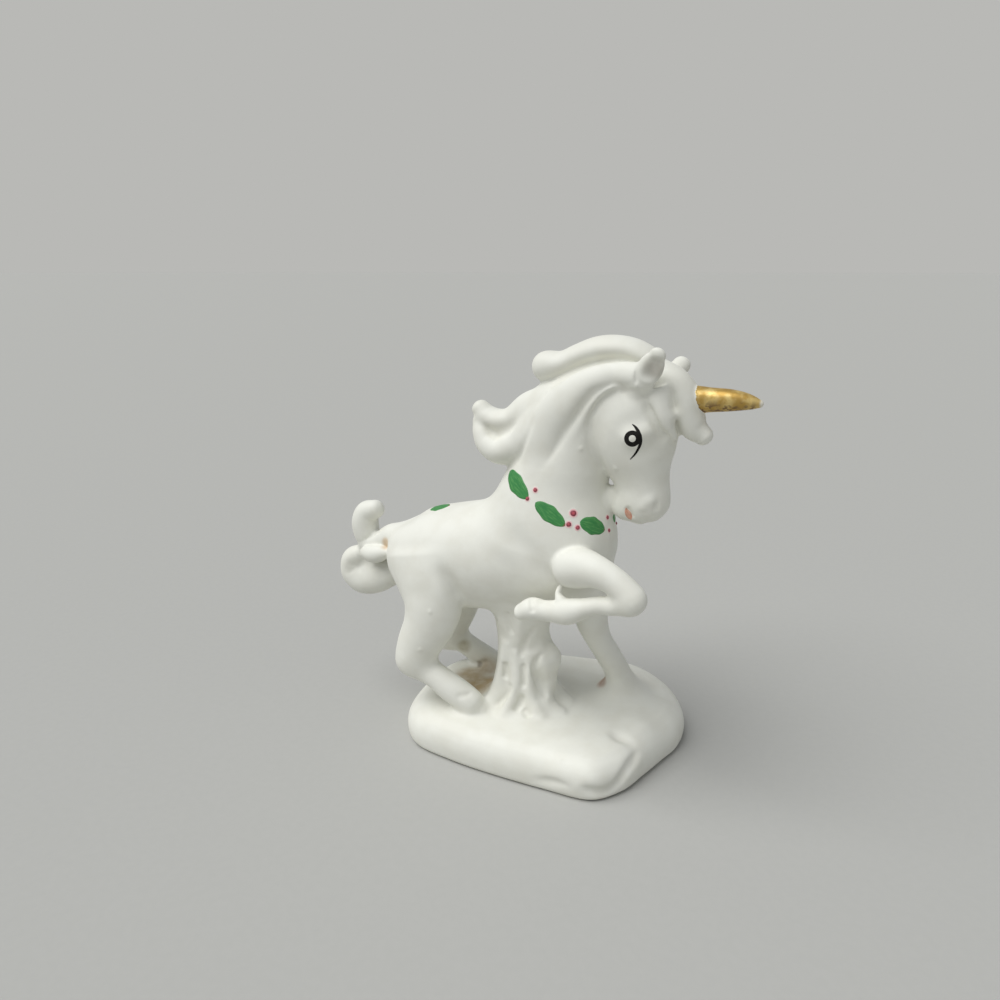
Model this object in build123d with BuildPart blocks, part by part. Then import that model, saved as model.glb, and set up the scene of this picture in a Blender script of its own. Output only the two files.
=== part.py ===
from build123d import *
from collections import namedtuple
import math
import os

os.makedirs("parts", exist_ok=True)

# A slip-cast bisque porcelain figurine: a prancing unicorn that stands on a rock
# base, its belly carried by a tree stump. Every casting that is luted on before the
# firing is a piece of its own, and so is each coat of paint.
# The origin is on the underside of the base. X points where the unicorn faces, Y to
# its left side and Z up. All lengths are in millimetres.

# Rock base
base_length = 75.5
base_width = 59.5
base_height = 10.5
base_offset_x = -1.5
base_offset_y = 6.0

# Torso: its line runs from the rump to the chest and climbs on the way
rump_setback = 48.0
leg_room = 39.5
torso_length = 66.0
torso_climb = 30.0
torso_depth = 31.0
torso_width = 28.0

# Neck, from inside the shoulders up to the poll
neck_reach = 22.0
neck_climb = 40.0
neck_depth = 30.0
neck_width = 25.0

# Head, from the poll down to the muzzle
head_reach = 5.0
head_drop = 36.0
head_depth = 21.0
head_width = 17.5

# Horn
horn_length = 18.8
horn_droop = 3.0
horn_girth = 6.2

# Ears: the right one stands up, the left one leans out
ear_depth = 6.2
ear_width = 4.0
right_ear_lean = 4.5
right_ear_spread = 3.2
right_ear_height = 11.5
left_ear_lean = 5.5
left_ear_spread = 4.5
left_ear_height = 7.0

# Forelock, which curls over the root of the horn
forelock_reach = 16.0
forelock_drop = 15.0
forelock_depth = 9.0
forelock_width = 11.0

# Crest of the mane, with its knob at the back
crest_length = 30.0
crest_rise = 5.0
crest_depth = 9.0
crest_width = 9.5

# The two locks that stand off the nape
upper_lock_length = 19.5
upper_lock_drop = 8.0
upper_lock_depth = 7.6
upper_lock_width = 8.5
lower_lock_length = 20.0
lower_lock_drop = 8.5
lower_lock_depth = 9.0
lower_lock_width = 8.5

# Sheets of mane down both sides of the neck, and the thin strand before each
sheet_length = 23.0
sheet_spread = 3.5
sheet_drop = 26.0
sheet_depth = 9.2
sheet_thickness = 4.6
strand_length = 19.0
strand_spread = 3.0
strand_drop = 21.0
strand_depth = 2.6
strand_thickness = 3.0

# Raised right foreleg: the forearm, and the folded cannon with its hoof
forearm_reach = 22.0
forearm_spread = 5.0
forearm_drop = 5.0
forearm_depth = 10.6
forearm_width = 10.0
cannon_length = 31.0
cannon_drop = 7.0
cannon_depth = 7.0
cannon_width = 7.0
web_length = 4.5
web_depth = 3.4
web_width = 3.4

# Planted left foreleg
planted_reach = 12.0
planted_spread = 7.0
planted_depth = 11.0
planted_width = 10.0

# Hind legs
hind_reach = 20.0
hind_spread = 8.0
hind_depth = 17.0
hind_width = 13.0

# Depth to which a foot is let into the base before the cut
foot_sink = 1.0

# Tree stump and the stub of its branch
stump_setback = 7.4
stump_depth = 17.0
stump_width = 16.0
stub_reach = 7.5
stub_climb = 4.5
stub_girth = 6.0

# Tail: the dock and the three locks that curl from its end
dock_length = 18.0
dock_drop = 8.0
dock_depth = 6.6
dock_width = 7.0
upper_curl_length = 8.0
upper_curl_height = 13.0
upper_curl_depth = 6.0
upper_curl_width = 7.5
lower_curl_length = 6.0
lower_curl_height = 11.0
lower_curl_girth = 9.0
front_lock_length = 14.0
front_lock_spread = 3.0
front_lock_climb = 3.5
front_lock_girth = 5.2

# Bridge of clay between the jaw and the throat
bridge_length = 9.0
bridge_depth = 5.0
bridge_width = 3.5

# Hollow casting: the wall, the bore that lets the air out and the drain hole
wall = 3.0
vent_radius = 1.4
drain_radius = 4.0
overrun = 1.0

# Paint: the film, the holly leaves, the berries, the eyes and the mouth
paint = 0.15
leaf_length = 10.5
leaf_width = 4.8
rump_leaf_length = 9.0
berry_radius = 0.65
eye_radius = 2.0
pupil_radius = 0.95
lash_height = 8.6
mouth_length = 2.6
mouth_width = 1.3

# A cast form: where its line starts, how far the line reaches, its full depth in the
# plane of the line, its full width across, and a table of rings. A ring is a row of
# shares: along, to the side and up the reach, then of the depth and of the width.
Form = namedtuple("Form", "start reach depth width shares")

across = Vector(0, 1, 0)
point_count = 12


def spot(form, along_share, side_share, rise_share):
    """A place on a form: shares of its reach, and of half its width to the side."""
    offset = Vector(form.reach.X * along_share, form.width / 2 * side_share, form.reach.Z * rise_share)
    return form.start + offset


def round_outline(half_width, half_depth):
    """A closed oval curve, which starts at the same side on every ring."""
    turns = [2 * math.pi * index / point_count for index in range(point_count)]
    return Spline([(half_width * math.cos(turn), half_depth * math.sin(turn)) for turn in turns], periodic=True)


def cast(form, grow=0.0, first=0, last=None):
    """The solid of a form, grown or shrunk all round, from its first to its last ring."""
    centres = [
        form.start + Vector(form.reach.X * along, form.reach.Y * side, form.reach.Z * rise)
        for along, side, rise, _, _ in form.shares
    ]
    rings = list(enumerate(form.shares))[first:last]
    with BuildPart() as solid:
        for index, (_, _, _, depth_share, width_share) in rings:
            before = centres[max(index - 1, 0)]
            after = centres[min(index + 1, len(centres) - 1)]
            heading = (after - before).normalized()
            end = (index == rings[-1][0]) - (index == rings[0][0])
            centre = centres[index] + heading * grow * end
            with BuildSketch(Plane(origin=centre, x_dir=across, z_dir=heading)):
                with BuildLine():
                    round_outline(form.width * width_share / 2 + grow, form.depth * depth_share / 2 + grow)
                make_face()
        loft()
    return solid.part


# Tables of rings
torso_shares = [
    (0.00, 0, -0.10, 0.24, 0.26),
    (0.03, 0, -0.09, 0.50, 0.54),
    (0.10, 0, -0.06, 0.74, 0.80),
    (0.20, 0, -0.02, 0.88, 0.94),
    (0.34, 0, 0.03, 0.95, 1.00),
    (0.48, 0, 0.09, 0.98, 0.98),
    (0.63, 0, 0.18, 1.00, 0.97),
    (0.77, 0, 0.27, 1.04, 0.98),
    (0.88, 0, 0.34, 0.92, 0.86),
    (0.95, 0, 0.37, 0.62, 0.60),
    (0.985, 0, 0.38, 0.26, 0.28),
]
neck_shares = [
    (0.00, 0, 0.00, 1.00, 0.95),
    (0.07, 0, 0.25, 0.97, 0.93),
    (0.18, 0, 0.45, 0.83, 0.82),
    (0.35, 0, 0.68, 0.72, 0.70),
    (0.60, 0, 0.88, 0.62, 0.64),
    (0.95, 0, 0.98, 0.55, 0.60),
]
head_shares = [
    (0.80, 0, 0.02, 0.30, 0.36),
    (0.85, 0, -0.06, 0.58, 0.66),
    (0.35, 0, -0.17, 0.86, 0.92),
    (0.05, 0, -0.34, 1.00, 1.00),
    (0.22, 0, -0.54, 0.88, 0.86),
    (0.50, 0, -0.70, 0.66, 0.68),
    (0.74, 0, -0.84, 0.58, 0.62),
    (0.84, 0, -0.92, 0.48, 0.52),
    (0.90, 0, -0.975, 0.24, 0.28),
]
horn_shares = [
    (-0.08, 0, 0.00, 1.02, 1.02),
    (0.10, 0, 0.03, 1.05, 1.05),
    (0.35, 0, 0.05, 0.95, 0.95),
    (0.65, 0, 0.00, 0.75, 0.75),
    (0.90, 0, -0.15, 0.42, 0.42),
    (1.00, 0, -0.25, 0.15, 0.15),
]
ear_shares = [
    (0.00, 0.00, 0.00, 0.80, 0.80),
    (0.15, 0.15, 0.20, 1.00, 1.00),
    (0.40, 0.45, 0.45, 0.95, 0.90),
    (0.70, 0.75, 0.75, 0.70, 0.70),
    (0.90, 0.95, 0.93, 0.42, 0.45),
    (1.00, 1.00, 1.00, 0.20, 0.25),
]
forelock_shares = [
    (0.02, 0, -0.14, 0.45, 0.45),
    (0.28, 0, -0.06, 0.77, 0.82),
    (0.49, 0, -0.22, 0.70, 0.85),
    (0.63, 0, -0.44, 0.68, 0.84),
    (0.69, 0, -0.67, 0.70, 0.83),
    (0.82, 0, -0.86, 0.57, 0.60),
    (0.98, 0, -0.99, 0.41, 0.40),
    (1.06, 0, -1.04, 0.18, 0.20),
]
crest_shares = [
    (0.03, 0, 0.00, 0.45, 0.50),
    (0.00, 0, 0.25, 0.72, 0.74),
    (-0.18, 0, 0.52, 0.98, 0.94),
    (-0.38, 0, 0.52, 0.95, 0.94),
    (-0.56, 0, 0.28, 0.92, 0.92),
    (-0.76, 0, -0.04, 0.85, 0.88),
    (-0.90, 0, -0.18, 0.84, 0.88),
    (-0.97, 0, -0.04, 0.56, 0.62),
    (-1.00, 0, 0.06, 0.22, 0.28),
]
upper_lock_shares = [
    (0.15, 0, 0.40, 0.90, 0.90),
    (-0.05, 0, -0.10, 1.00, 1.00),
    (-0.40, 0, -0.66, 0.94, 0.95),
    (-0.68, 0, -0.95, 0.88, 0.90),
    (-0.90, 0, -0.76, 0.75, 0.78),
    (-0.98, 0, -0.50, 0.48, 0.50),
    (-1.00, 0, -0.34, 0.20, 0.22),
]
lower_lock_shares = [
    (0.05, 0, 0.10, 0.90, 0.90),
    (-0.10, 0, -0.20, 0.94, 0.95),
    (-0.36, 0, -0.72, 0.96, 1.00),
    (-0.62, 0, -0.96, 1.00, 1.00),
    (-0.84, 0, -0.80, 0.88, 0.88),
    (-0.95, 0, -0.40, 0.60, 0.60),
    (-0.98, 0, -0.15, 0.28, 0.30),
]
sheet_shares = [
    (0.09, 0.00, 0.02, 0.58, 0.80),
    (-0.10, 0.05, 0.03, 0.62, 0.90),
    (-0.29, 0.15, -0.03, 0.70, 0.95),
    (-0.46, 0.25, -0.13, 0.84, 1.00),
    (-0.62, 0.35, -0.265, 0.98, 1.00),
    (-0.76, 0.48, -0.43, 1.00, 0.97),
    (-0.87, 0.63, -0.615, 0.90, 0.92),
    (-0.96, 0.82, -0.81, 0.75, 0.87),
    (-1.03, 1.00, -0.98, 0.60, 0.78),
]
strand_shares = [
    (0.02, 0.00, 0.00, 0.50, 0.60),
    (-0.05, 0.05, 0.00, 0.75, 0.80),
    (-0.28, 0.35, -0.02, 0.85, 1.00),
    (-0.45, 0.50, -0.18, 0.95, 1.00),
    (-0.62, 0.60, -0.46, 1.00, 1.00),
    (-0.82, 0.75, -0.75, 0.90, 0.95),
    (-0.98, 0.95, -0.95, 0.50, 0.60),
]
forearm_shares = [
    (0.00, 0.1, -0.04, 0.70, 0.75),
    (0.16, 0.4, 0.02, 0.92, 0.95),
    (0.34, 0.6, 0.14, 1.00, 1.00),
    (0.58, 0.8, 0.08, 0.93, 0.95),
    (0.80, 1.0, -0.30, 0.83, 0.85),
    (0.94, 1.0, -0.84, 0.74, 0.74),
    (1.02, 1.0, -1.32, 0.55, 0.56),
    (1.05, 1.0, -1.60, 0.25, 0.26),
]
cannon_shares = [
    (-0.01, 0, 0.06, 0.60, 0.65),
    (-0.08, 0, 0.00, 0.78, 0.88),
    (-0.18, 0, -0.10, 0.68, 0.80),
    (-0.34, 0, -0.25, 0.65, 0.74),
    (-0.50, 0, -0.56, 0.96, 0.92),
    (-0.64, 0, -0.64, 0.84, 0.86),
    (-0.77, 0, -0.66, 0.64, 0.80),
    (-0.86, 0, -0.72, 0.76, 0.86),
    (-0.95, 0, -0.84, 0.50, 0.66),
    (-1.00, 0, -0.95, 0.20, 0.30),
]
web_shares = [
    (0.0, 0, 0, 0.5, 0.5),
    (0.3, 0, 0, 1.0, 1.0),
    (0.7, 0, 0, 1.0, 1.0),
    (1.0, 0, 0, 0.5, 0.5),
]
planted_shares = [
    (-0.05, -0.25, 0.12, 0.95, 0.80),
    (0.08, -0.06, -0.08, 0.96, 0.92),
    (0.15, 0.02, -0.205, 0.90, 0.92),
    (0.33, 0.15, -0.38, 0.78, 0.82),
    (0.60, 0.43, -0.565, 0.70, 0.72),
    (0.77, 0.71, -0.75, 0.58, 0.62),
    (0.88, 0.86, -0.88, 0.56, 0.62),
    (0.95, 1.00, -0.96, 0.74, 0.82),
    (0.98, 1.05, -1.00, 0.90, 1.00),
]
right_thigh_shares = [
    (0.00, 0.00, 0.02, 1.25, 0.92),
    (0.07, 0.25, -0.15, 1.08, 1.00),
    (0.12, 0.42, -0.29, 0.91, 0.97),
    (0.07, 0.56, -0.43, 0.75, 0.85),
    (-0.03, 0.69, -0.565, 0.66, 0.75),
    (-0.05, 0.76, -0.66, 0.60, 0.70),
    (-0.04, 0.79, -0.73, 0.40, 0.48),
    (-0.03, 0.80, -0.755, 0.18, 0.22),
]
right_shank_shares = [
    (-0.20, 0.74, -0.63, 0.20, 0.26),
    (-0.10, 0.77, -0.655, 0.46, 0.56),
    (0.08, 0.81, -0.70, 0.54, 0.66),
    (0.28, 0.86, -0.755, 0.51, 0.66),
    (0.54, 0.92, -0.805, 0.51, 0.66),
    (0.80, 0.97, -0.865, 0.46, 0.64),
    (0.97, 1.00, -0.93, 0.37, 0.56),
    (1.06, 1.00, -1.00, 0.27, 0.44),
]
left_thigh_shares = [
    (0.00, 0.00, 0.02, 1.25, 0.92),
    (0.06, 0.20, -0.17, 1.06, 1.00),
    (0.07, 0.30, -0.34, 0.88, 0.92),
    (0.01, 0.35, -0.51, 0.70, 0.80),
    (-0.10, 0.40, -0.665, 0.59, 0.70),
    (-0.22, 0.46, -0.79, 0.55, 0.66),
    (-0.26, 0.48, -0.86, 0.42, 0.50),
    (-0.27, 0.49, -0.89, 0.20, 0.25),
]
left_shank_shares = [
    (-0.34, 0.45, -0.82, 0.22, 0.30),
    (-0.27, 0.48, -0.84, 0.46, 0.56),
    (-0.08, 0.56, -0.865, 0.52, 0.64),
    (0.12, 0.65, -0.88, 0.50, 0.64),
    (0.38, 0.75, -0.895, 0.46, 0.62),
    (0.66, 0.85, -0.92, 0.42, 0.60),
    (0.80, 0.88, -0.96, 0.34, 0.50),
    (0.86, 0.89, -1.00, 0.24, 0.40),
]
stump_shares = [
    (0, 0, -0.03, 1.30, 1.30),
    (0, 0, 0.07, 1.08, 1.08),
    (0, 0, 0.28, 0.90, 0.90),
    (0, 0, 0.50, 0.82, 0.82),
    (0, 0, 0.70, 0.85, 0.85),
    (0, 0, 0.92, 1.00, 1.00),
    (0, 0, 1.05, 1.10, 1.10),
]
stub_shares = [
    (0.0, 0, 0.0, 1.00, 1.00),
    (0.6, 0, 0.5, 0.90, 0.90),
    (0.9, 0, 0.9, 0.70, 0.70),
    (1.0, 0, 1.05, 0.35, 0.35),
]
dock_shares = [
    (0.05, 0, 0.00, 0.90, 0.90),
    (-0.15, 0, -0.02, 0.97, 1.00),
    (-0.43, 0, -0.05, 0.97, 1.00),
    (-0.70, 0, -0.40, 0.98, 1.00),
    (-0.92, 0, -0.80, 0.82, 0.90),
    (-1.00, 0, -0.95, 0.40, 0.50),
]
upper_curl_shares = [
    (0.00, 0, -0.10, 0.70, 0.70),
    (-0.15, 0, 0.05, 0.90, 0.90),
    (-0.27, 0, 0.37, 1.00, 1.00),
    (-0.15, 0, 0.74, 0.97, 0.95),
    (0.30, 0, 0.97, 0.80, 0.85),
    (0.75, 0, 0.98, 0.66, 0.70),
    (0.92, 0, 0.94, 0.30, 0.35),
]
lower_curl_shares = [
    (-0.10, 0, 0.05, 0.60, 0.70),
    (-0.80, 0, -0.18, 0.70, 0.80),
    (-0.95, 0, -0.62, 0.80, 0.90),
    (-0.35, 0, -0.98, 0.86, 0.98),
    (0.45, 0, -0.92, 0.82, 0.95),
    (0.90, 0, -0.62, 0.56, 0.66),
]
front_lock_shares = [
    (0.00, 0.00, 0.00, 0.60, 0.70),
    (0.15, 0.10, 0.05, 0.85, 0.90),
    (0.55, 0.60, 0.50, 1.00, 1.00),
    (0.85, 0.95, 0.85, 0.68, 0.72),
    (1.00, 1.00, 1.00, 0.28, 0.30),
]

# Outline of the rock base, in shares of its half length and half width
base_shares = [
    (-0.93, -0.70),
    (-0.77, -0.90),
    (-0.49, -0.97),
    (-0.21, -0.995),
    (0.27, -0.99),
    (0.60, -0.95),
    (0.76, -0.74),
    (0.85, -0.45),
    (0.92, -0.19),
    (0.99, 0.10),
    (0.975, 0.40),
    (0.80, 0.77),
    (0.49, 1.00),
    (0.12, 0.925),
    (-0.28, 0.81),
    (-0.70, 0.605),
    (-0.965, 0.20),
    (-1.00, -0.30),
]
# Layers of the base: the share of its height and of its outline
base_layer_shares = [(0.0, 0.965), (0.25, 1.0), (0.62, 1.0), (0.88, 0.975), (1.0, 0.92)]
hollow_layer_shares = [(0.0, 0.96), (0.5, 1.0), (1.0, 0.94)]

# Forms, each placed on the form that carries it
torso_shape = Form(
    Vector(-rump_setback, 0, base_height + leg_room),
    Vector(torso_length, 0, torso_climb),
    torso_depth,
    torso_width,
    torso_shares,
)
neck_shape = Form(
    spot(torso_shape, 0.712, 0, 0.333), Vector(neck_reach, 0, neck_climb), neck_depth, neck_width, neck_shares
)
head_shape = Form(
    spot(neck_shape, 1.0, 0, 1.1), Vector(head_reach, 0, head_drop), head_depth, head_width, head_shares
)
horn_shape = Form(
    spot(head_shape, 2.0, 0, -0.147), Vector(horn_length, 0, horn_droop), horn_girth, horn_girth, horn_shares
)
right_ear_shape = Form(
    spot(head_shape, 0.64, -0.777, -0.125),
    Vector(right_ear_lean, -right_ear_spread, right_ear_height),
    ear_depth,
    ear_width,
    ear_shares,
)
left_ear_shape = Form(
    spot(head_shape, 0.80, 0.777, -0.125),
    Vector(left_ear_lean, left_ear_spread, left_ear_height),
    ear_depth,
    ear_width,
    ear_shares,
)
forelock_shape = Form(
    spot(head_shape, 0.2, 0, 0.028),
    Vector(forelock_reach, 0, forelock_drop),
    forelock_depth,
    forelock_width,
    forelock_shares,
)
crest_shape = Form(
    spot(head_shape, 0.8, 0, 0.028), Vector(crest_length, 0, crest_rise), crest_depth, crest_width, crest_shares
)
upper_lock_shape = Form(
    spot(neck_shape, 0, 0, 0.925),
    Vector(upper_lock_length, 0, upper_lock_drop),
    upper_lock_depth,
    upper_lock_width,
    upper_lock_shares,
)
lower_lock_shape = Form(
    spot(neck_shape, 0.073, -0.16, 0.8),
    Vector(lower_lock_length, 0, lower_lock_drop),
    lower_lock_depth,
    lower_lock_width,
    lower_lock_shares,
)
forearm_shape = Form(
    spot(torso_shape, 0.818, -0.786, 0.267),
    Vector(forearm_reach, -forearm_spread, forearm_drop),
    forearm_depth,
    forearm_width,
    forearm_shares,
)
cannon_shape = Form(
    spot(forearm_shape, 1.0, -1.0, -1.2),
    Vector(cannon_length, 0, cannon_drop),
    cannon_depth,
    cannon_width,
    cannon_shares,
)
web_shape = Form(
    spot(cannon_shape, -0.665, 0, -0.1), Vector(web_length, 0, 0), web_depth, web_width, web_shares
)
planted_start = spot(torso_shape, 0.818, 0.571, -0.067)
planted_shape = Form(
    planted_start,
    Vector(planted_reach, planted_spread, planted_start.Z - base_height + foot_sink),
    planted_depth,
    planted_width,
    planted_shares,
)
hind_shapes = {}
for label, hand, limb_tables in (
    ("right", -1, (right_thigh_shares, right_shank_shares)),
    ("left", 1, (left_thigh_shares, left_shank_shares)),
):
    hind_start = spot(torso_shape, 0.227, hand * 0.5, 0.033)
    hind_drop = hind_start.Z - base_height + foot_sink
    hind_shapes[label] = [
        Form(hind_start, Vector(hind_reach, hand * hind_spread, hind_drop), hind_depth, hind_width, table)
        for table in limb_tables
    ]
belly_height = spot(torso_shape, 0.615, 0, 0.17).Z - torso_depth / 2
stump_shape = Form(
    Vector(-stump_setback, 0, base_height),
    Vector(0, 0, belly_height - base_height + foot_sink),
    stump_depth,
    stump_width,
    stump_shares,
)
stub_shape = Form(
    Vector(-stump_setback / 2, 0, base_height + stump_shape.reach.Z * 0.3),
    Vector(stub_reach, 0, stub_climb),
    stub_girth,
    stub_girth,
    stub_shares,
)
dock_shape = Form(
    spot(torso_shape, 0.091, 0, 0.133), Vector(dock_length, 0, dock_drop), dock_depth, dock_width, dock_shares
)
upper_curl_shape = Form(
    spot(dock_shape, -0.9, 0, -0.75),
    Vector(upper_curl_length, 0, upper_curl_height),
    upper_curl_depth,
    upper_curl_width,
    upper_curl_shares,
)
lower_curl_shape = Form(
    spot(dock_shape, -0.9, 0, -1.0),
    Vector(lower_curl_length, 0, lower_curl_height),
    lower_curl_girth,
    lower_curl_girth,
    lower_curl_shares,
)
front_lock_shape = Form(
    spot(dock_shape, -0.944, -0.857, -0.875),
    Vector(front_lock_length, -front_lock_spread, front_lock_climb),
    front_lock_girth,
    front_lock_girth,
    front_lock_shares,
)
bridge_shape = Form(
    spot(neck_shape, 0.59, 0, 0.34), Vector(bridge_length, 0, 0), bridge_depth, bridge_width, web_shares
)

torso_form = cast(torso_shape)
neck_form = cast(neck_shape)
head_form = cast(head_shape)


def base_layer(level, half_length, half_width, outline_share):
    """One closed outline of the rock base at a level above the ground."""
    with BuildSketch(Plane.XY.offset(level)) as layer:
        with BuildLine():
            Spline(
                [
                    (
                        base_offset_x + half_length * outline_share * along,
                        base_offset_y + half_width * outline_share * side,
                    )
                    for along, side in base_shares
                ],
                periodic=True,
            )
        make_face()
    return layer.sketch


with BuildPart() as base_solid:
    for height_share, outline_share in base_layer_shares:
        add(base_layer(base_height * height_share, base_length / 2, base_width / 2, outline_share))
    loft()
base_form = base_solid.part

# Rock base: a hollow shell with a drain hole in its underside
with BuildPart() as base_hollow:
    for height_share, outline_share in hollow_layer_shares:
        level = wall + (base_height - 2 * wall) * height_share
        add(base_layer(level, base_length / 2 - wall, base_width / 2 - wall, outline_share))
    loft()
vent_place = (-stump_setback, 0, 0)
drain_place = (-stump_setback * 2, 0, 0)
vent_top = spot(torso_shape, 0.615, 0, 0.17).Z
with BuildPart() as vent_bore:
    with BuildSketch(Plane.XY.offset(base_height / 2)):
        with Locations(vent_place):
            Circle(vent_radius)
    extrude(amount=vent_top - base_height / 2)
with BuildPart() as base:
    add(base_form)
    add([base_hollow.part, vent_bore.part], mode=Mode.SUBTRACT)
    with BuildSketch(Plane.XY.offset(-overrun)):
        with Locations(drain_place):
            Circle(drain_radius)
    extrude(amount=wall + 2 * overrun, mode=Mode.SUBTRACT)
base.part.label = "base"
export_step(base.part, "parts/base.step")

# Hollow of the main casting, which runs from the torso through the neck to the head
with BuildPart() as body_hollow:
    add(cast(torso_shape, grow=-wall, first=2, last=-2))
    add(cast(neck_shape, grow=-wall))
    add(cast(head_shape, grow=-wall, first=1, last=-2))

with BuildPart() as torso:
    add(torso_form)
    add([body_hollow.part, vent_bore.part], mode=Mode.SUBTRACT)
torso.part.label = "torso"
export_step(torso.part, "parts/torso.step")

with BuildPart() as neck:
    add(neck_form)
    add([torso_form, body_hollow.part], mode=Mode.SUBTRACT)
neck.part.label = "neck"
export_step(neck.part, "parts/neck.step")

with BuildPart() as head:
    add(head_form)
    add([neck_form, body_hollow.part], mode=Mode.SUBTRACT)
head.part.label = "head"
export_step(head.part, "parts/head.step")

# Tree stump under the belly, bored so that the torso vents into the base
stump_form = cast(stump_shape)
with BuildPart() as tree_stump:
    add([stump_form, cast(stub_shape)])
    add([torso_form, base_form, vent_bore.part], mode=Mode.SUBTRACT)
tree_stump.part.label = "tree_stump"
export_step(tree_stump.part, "parts/tree_stump.step")

# Legs, each let into the torso above and standing on the base below
for label, limb_shapes in hind_shapes.items():
    with BuildPart() as hind_leg:
        add([cast(limb_shape) for limb_shape in limb_shapes])
        add([torso_form, base_form, stump_form], mode=Mode.SUBTRACT)
    hind_leg.part.label = f"hind_leg_{label}"
    export_step(hind_leg.part, f"parts/hind_leg_{label}.step")

with BuildPart() as planted_foreleg:
    add(cast(planted_shape))
    add([torso_form, base_form], mode=Mode.SUBTRACT)
planted_foreleg.part.label = "planted_foreleg"
export_step(planted_foreleg.part, "parts/planted_foreleg.step")

forearm_form = cast(forearm_shape)
with BuildPart() as raised_forearm:
    add(forearm_form)
    add([torso_form, neck_form], mode=Mode.SUBTRACT)
raised_forearm.part.label = "raised_forearm"
export_step(raised_forearm.part, "parts/raised_forearm.step")

cannon_form = cast(cannon_shape)
with BuildPart() as raised_cannon:
    add(cannon_form)
    add([forearm_form, torso_form], mode=Mode.SUBTRACT)
raised_cannon.part.label = "raised_cannon"
export_step(raised_cannon.part, "parts/raised_cannon.step")

# Web of clay that ties the folded cannon to the forearm
with BuildPart() as foreleg_web:
    add(cast(web_shape))
    add([forearm_form, cannon_form, torso_form], mode=Mode.SUBTRACT)
foreleg_web.part.label = "foreleg_web"
export_step(foreleg_web.part, "parts/foreleg_web.step")

# Bridge of clay between the jaw and the throat
with BuildPart() as chin_bridge:
    add(cast(bridge_shape))
    add([head_form, neck_form, torso_form], mode=Mode.SUBTRACT)
chin_bridge.part.label = "chin_bridge"
export_step(chin_bridge.part, "parts/chin_bridge.step")

# Mane: the crest with its knob, then the sheets, the strands and the nape locks
crest_form = cast(crest_shape)
with BuildPart() as mane_crest:
    add(crest_form)
    add([neck_form, head_form], mode=Mode.SUBTRACT)
mane_crest.part.label = "mane_crest"
export_step(mane_crest.part, "parts/mane_crest.step")

side_forms = []
for label, hand in (("right", -1), ("left", 1)):
    sheet_shape = Form(
        spot(neck_shape, 0.955, hand * 0.48, 1.1),
        Vector(sheet_length, hand * sheet_spread, sheet_drop),
        sheet_depth,
        sheet_thickness,
        sheet_shares,
    )
    strand_shape = Form(
        spot(neck_shape, 1.02, hand * 0.544, 1.025),
        Vector(strand_length, hand * strand_spread, strand_drop),
        strand_depth,
        strand_thickness,
        strand_shares,
    )
    sheet_form = cast(sheet_shape)
    strand_form = cast(strand_shape)
    side_forms += [sheet_form, strand_form]
    with BuildPart() as mane_sheet:
        add(sheet_form)
        add([neck_form, head_form, crest_form], mode=Mode.SUBTRACT)
    mane_sheet.part.label = f"mane_sheet_{label}"
    export_step(mane_sheet.part, f"parts/mane_sheet_{label}.step")
    with BuildPart() as mane_strand:
        add(strand_form)
        add([neck_form, head_form, crest_form, sheet_form], mode=Mode.SUBTRACT)
    mane_strand.part.label = f"mane_strand_{label}"
    export_step(mane_strand.part, f"parts/mane_strand_{label}.step")

upper_lock_form = cast(upper_lock_shape)
with BuildPart() as mane_lock_upper:
    add(upper_lock_form)
    add([neck_form, crest_form, *side_forms], mode=Mode.SUBTRACT)
mane_lock_upper.part.label = "mane_lock_upper"
export_step(mane_lock_upper.part, "parts/mane_lock_upper.step")

with BuildPart() as mane_lock_lower:
    add(cast(lower_lock_shape))
    add([neck_form, upper_lock_form, *side_forms], mode=Mode.SUBTRACT)
mane_lock_lower.part.label = "mane_lock_lower"
export_step(mane_lock_lower.part, "parts/mane_lock_lower.step")

forelock_form = cast(forelock_shape)
with BuildPart() as forelock:
    add(forelock_form)
    add([head_form, neck_form, crest_form], mode=Mode.SUBTRACT)
forelock.part.label = "forelock"
export_step(forelock.part, "parts/forelock.step")

for label, ear_shape in (("right", right_ear_shape), ("left", left_ear_shape)):
    with BuildPart() as ear:
        add(cast(ear_shape))
        add([head_form, crest_form, forelock_form, *side_forms], mode=Mode.SUBTRACT)
    ear.part.label = f"ear_{label}"
    export_step(ear.part, f"parts/ear_{label}.step")

with BuildPart() as horn:
    add(cast(horn_shape))
    add([head_form, forelock_form], mode=Mode.SUBTRACT)
horn.part.label = "horn"
export_step(horn.part, "parts/horn.step")

# Tail: the dock and its three locks
dock_form = cast(dock_shape)
with BuildPart() as tail_dock:
    add(dock_form)
    add(torso_form, mode=Mode.SUBTRACT)
tail_dock.part.label = "tail_dock"
export_step(tail_dock.part, "parts/tail_dock.step")

upper_curl_form = cast(upper_curl_shape)
with BuildPart() as tail_upper_curl:
    add(upper_curl_form)
    add(dock_form, mode=Mode.SUBTRACT)
tail_upper_curl.part.label = "tail_upper_curl"
export_step(tail_upper_curl.part, "parts/tail_upper_curl.step")

lower_curl_form = cast(lower_curl_shape)
with BuildPart() as tail_lower_curl:
    add(lower_curl_form)
    add([dock_form, upper_curl_form, torso_form], mode=Mode.SUBTRACT)
tail_lower_curl.part.label = "tail_lower_curl"
export_step(tail_lower_curl.part, "parts/tail_lower_curl.step")

with BuildPart() as tail_front_lock:
    add(cast(front_lock_shape))
    add([dock_form, upper_curl_form, lower_curl_form, torso_form], mode=Mode.SUBTRACT)
tail_front_lock.part.label = "tail_front_lock"
export_step(tail_front_lock.part, "parts/tail_front_lock.step")

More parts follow.
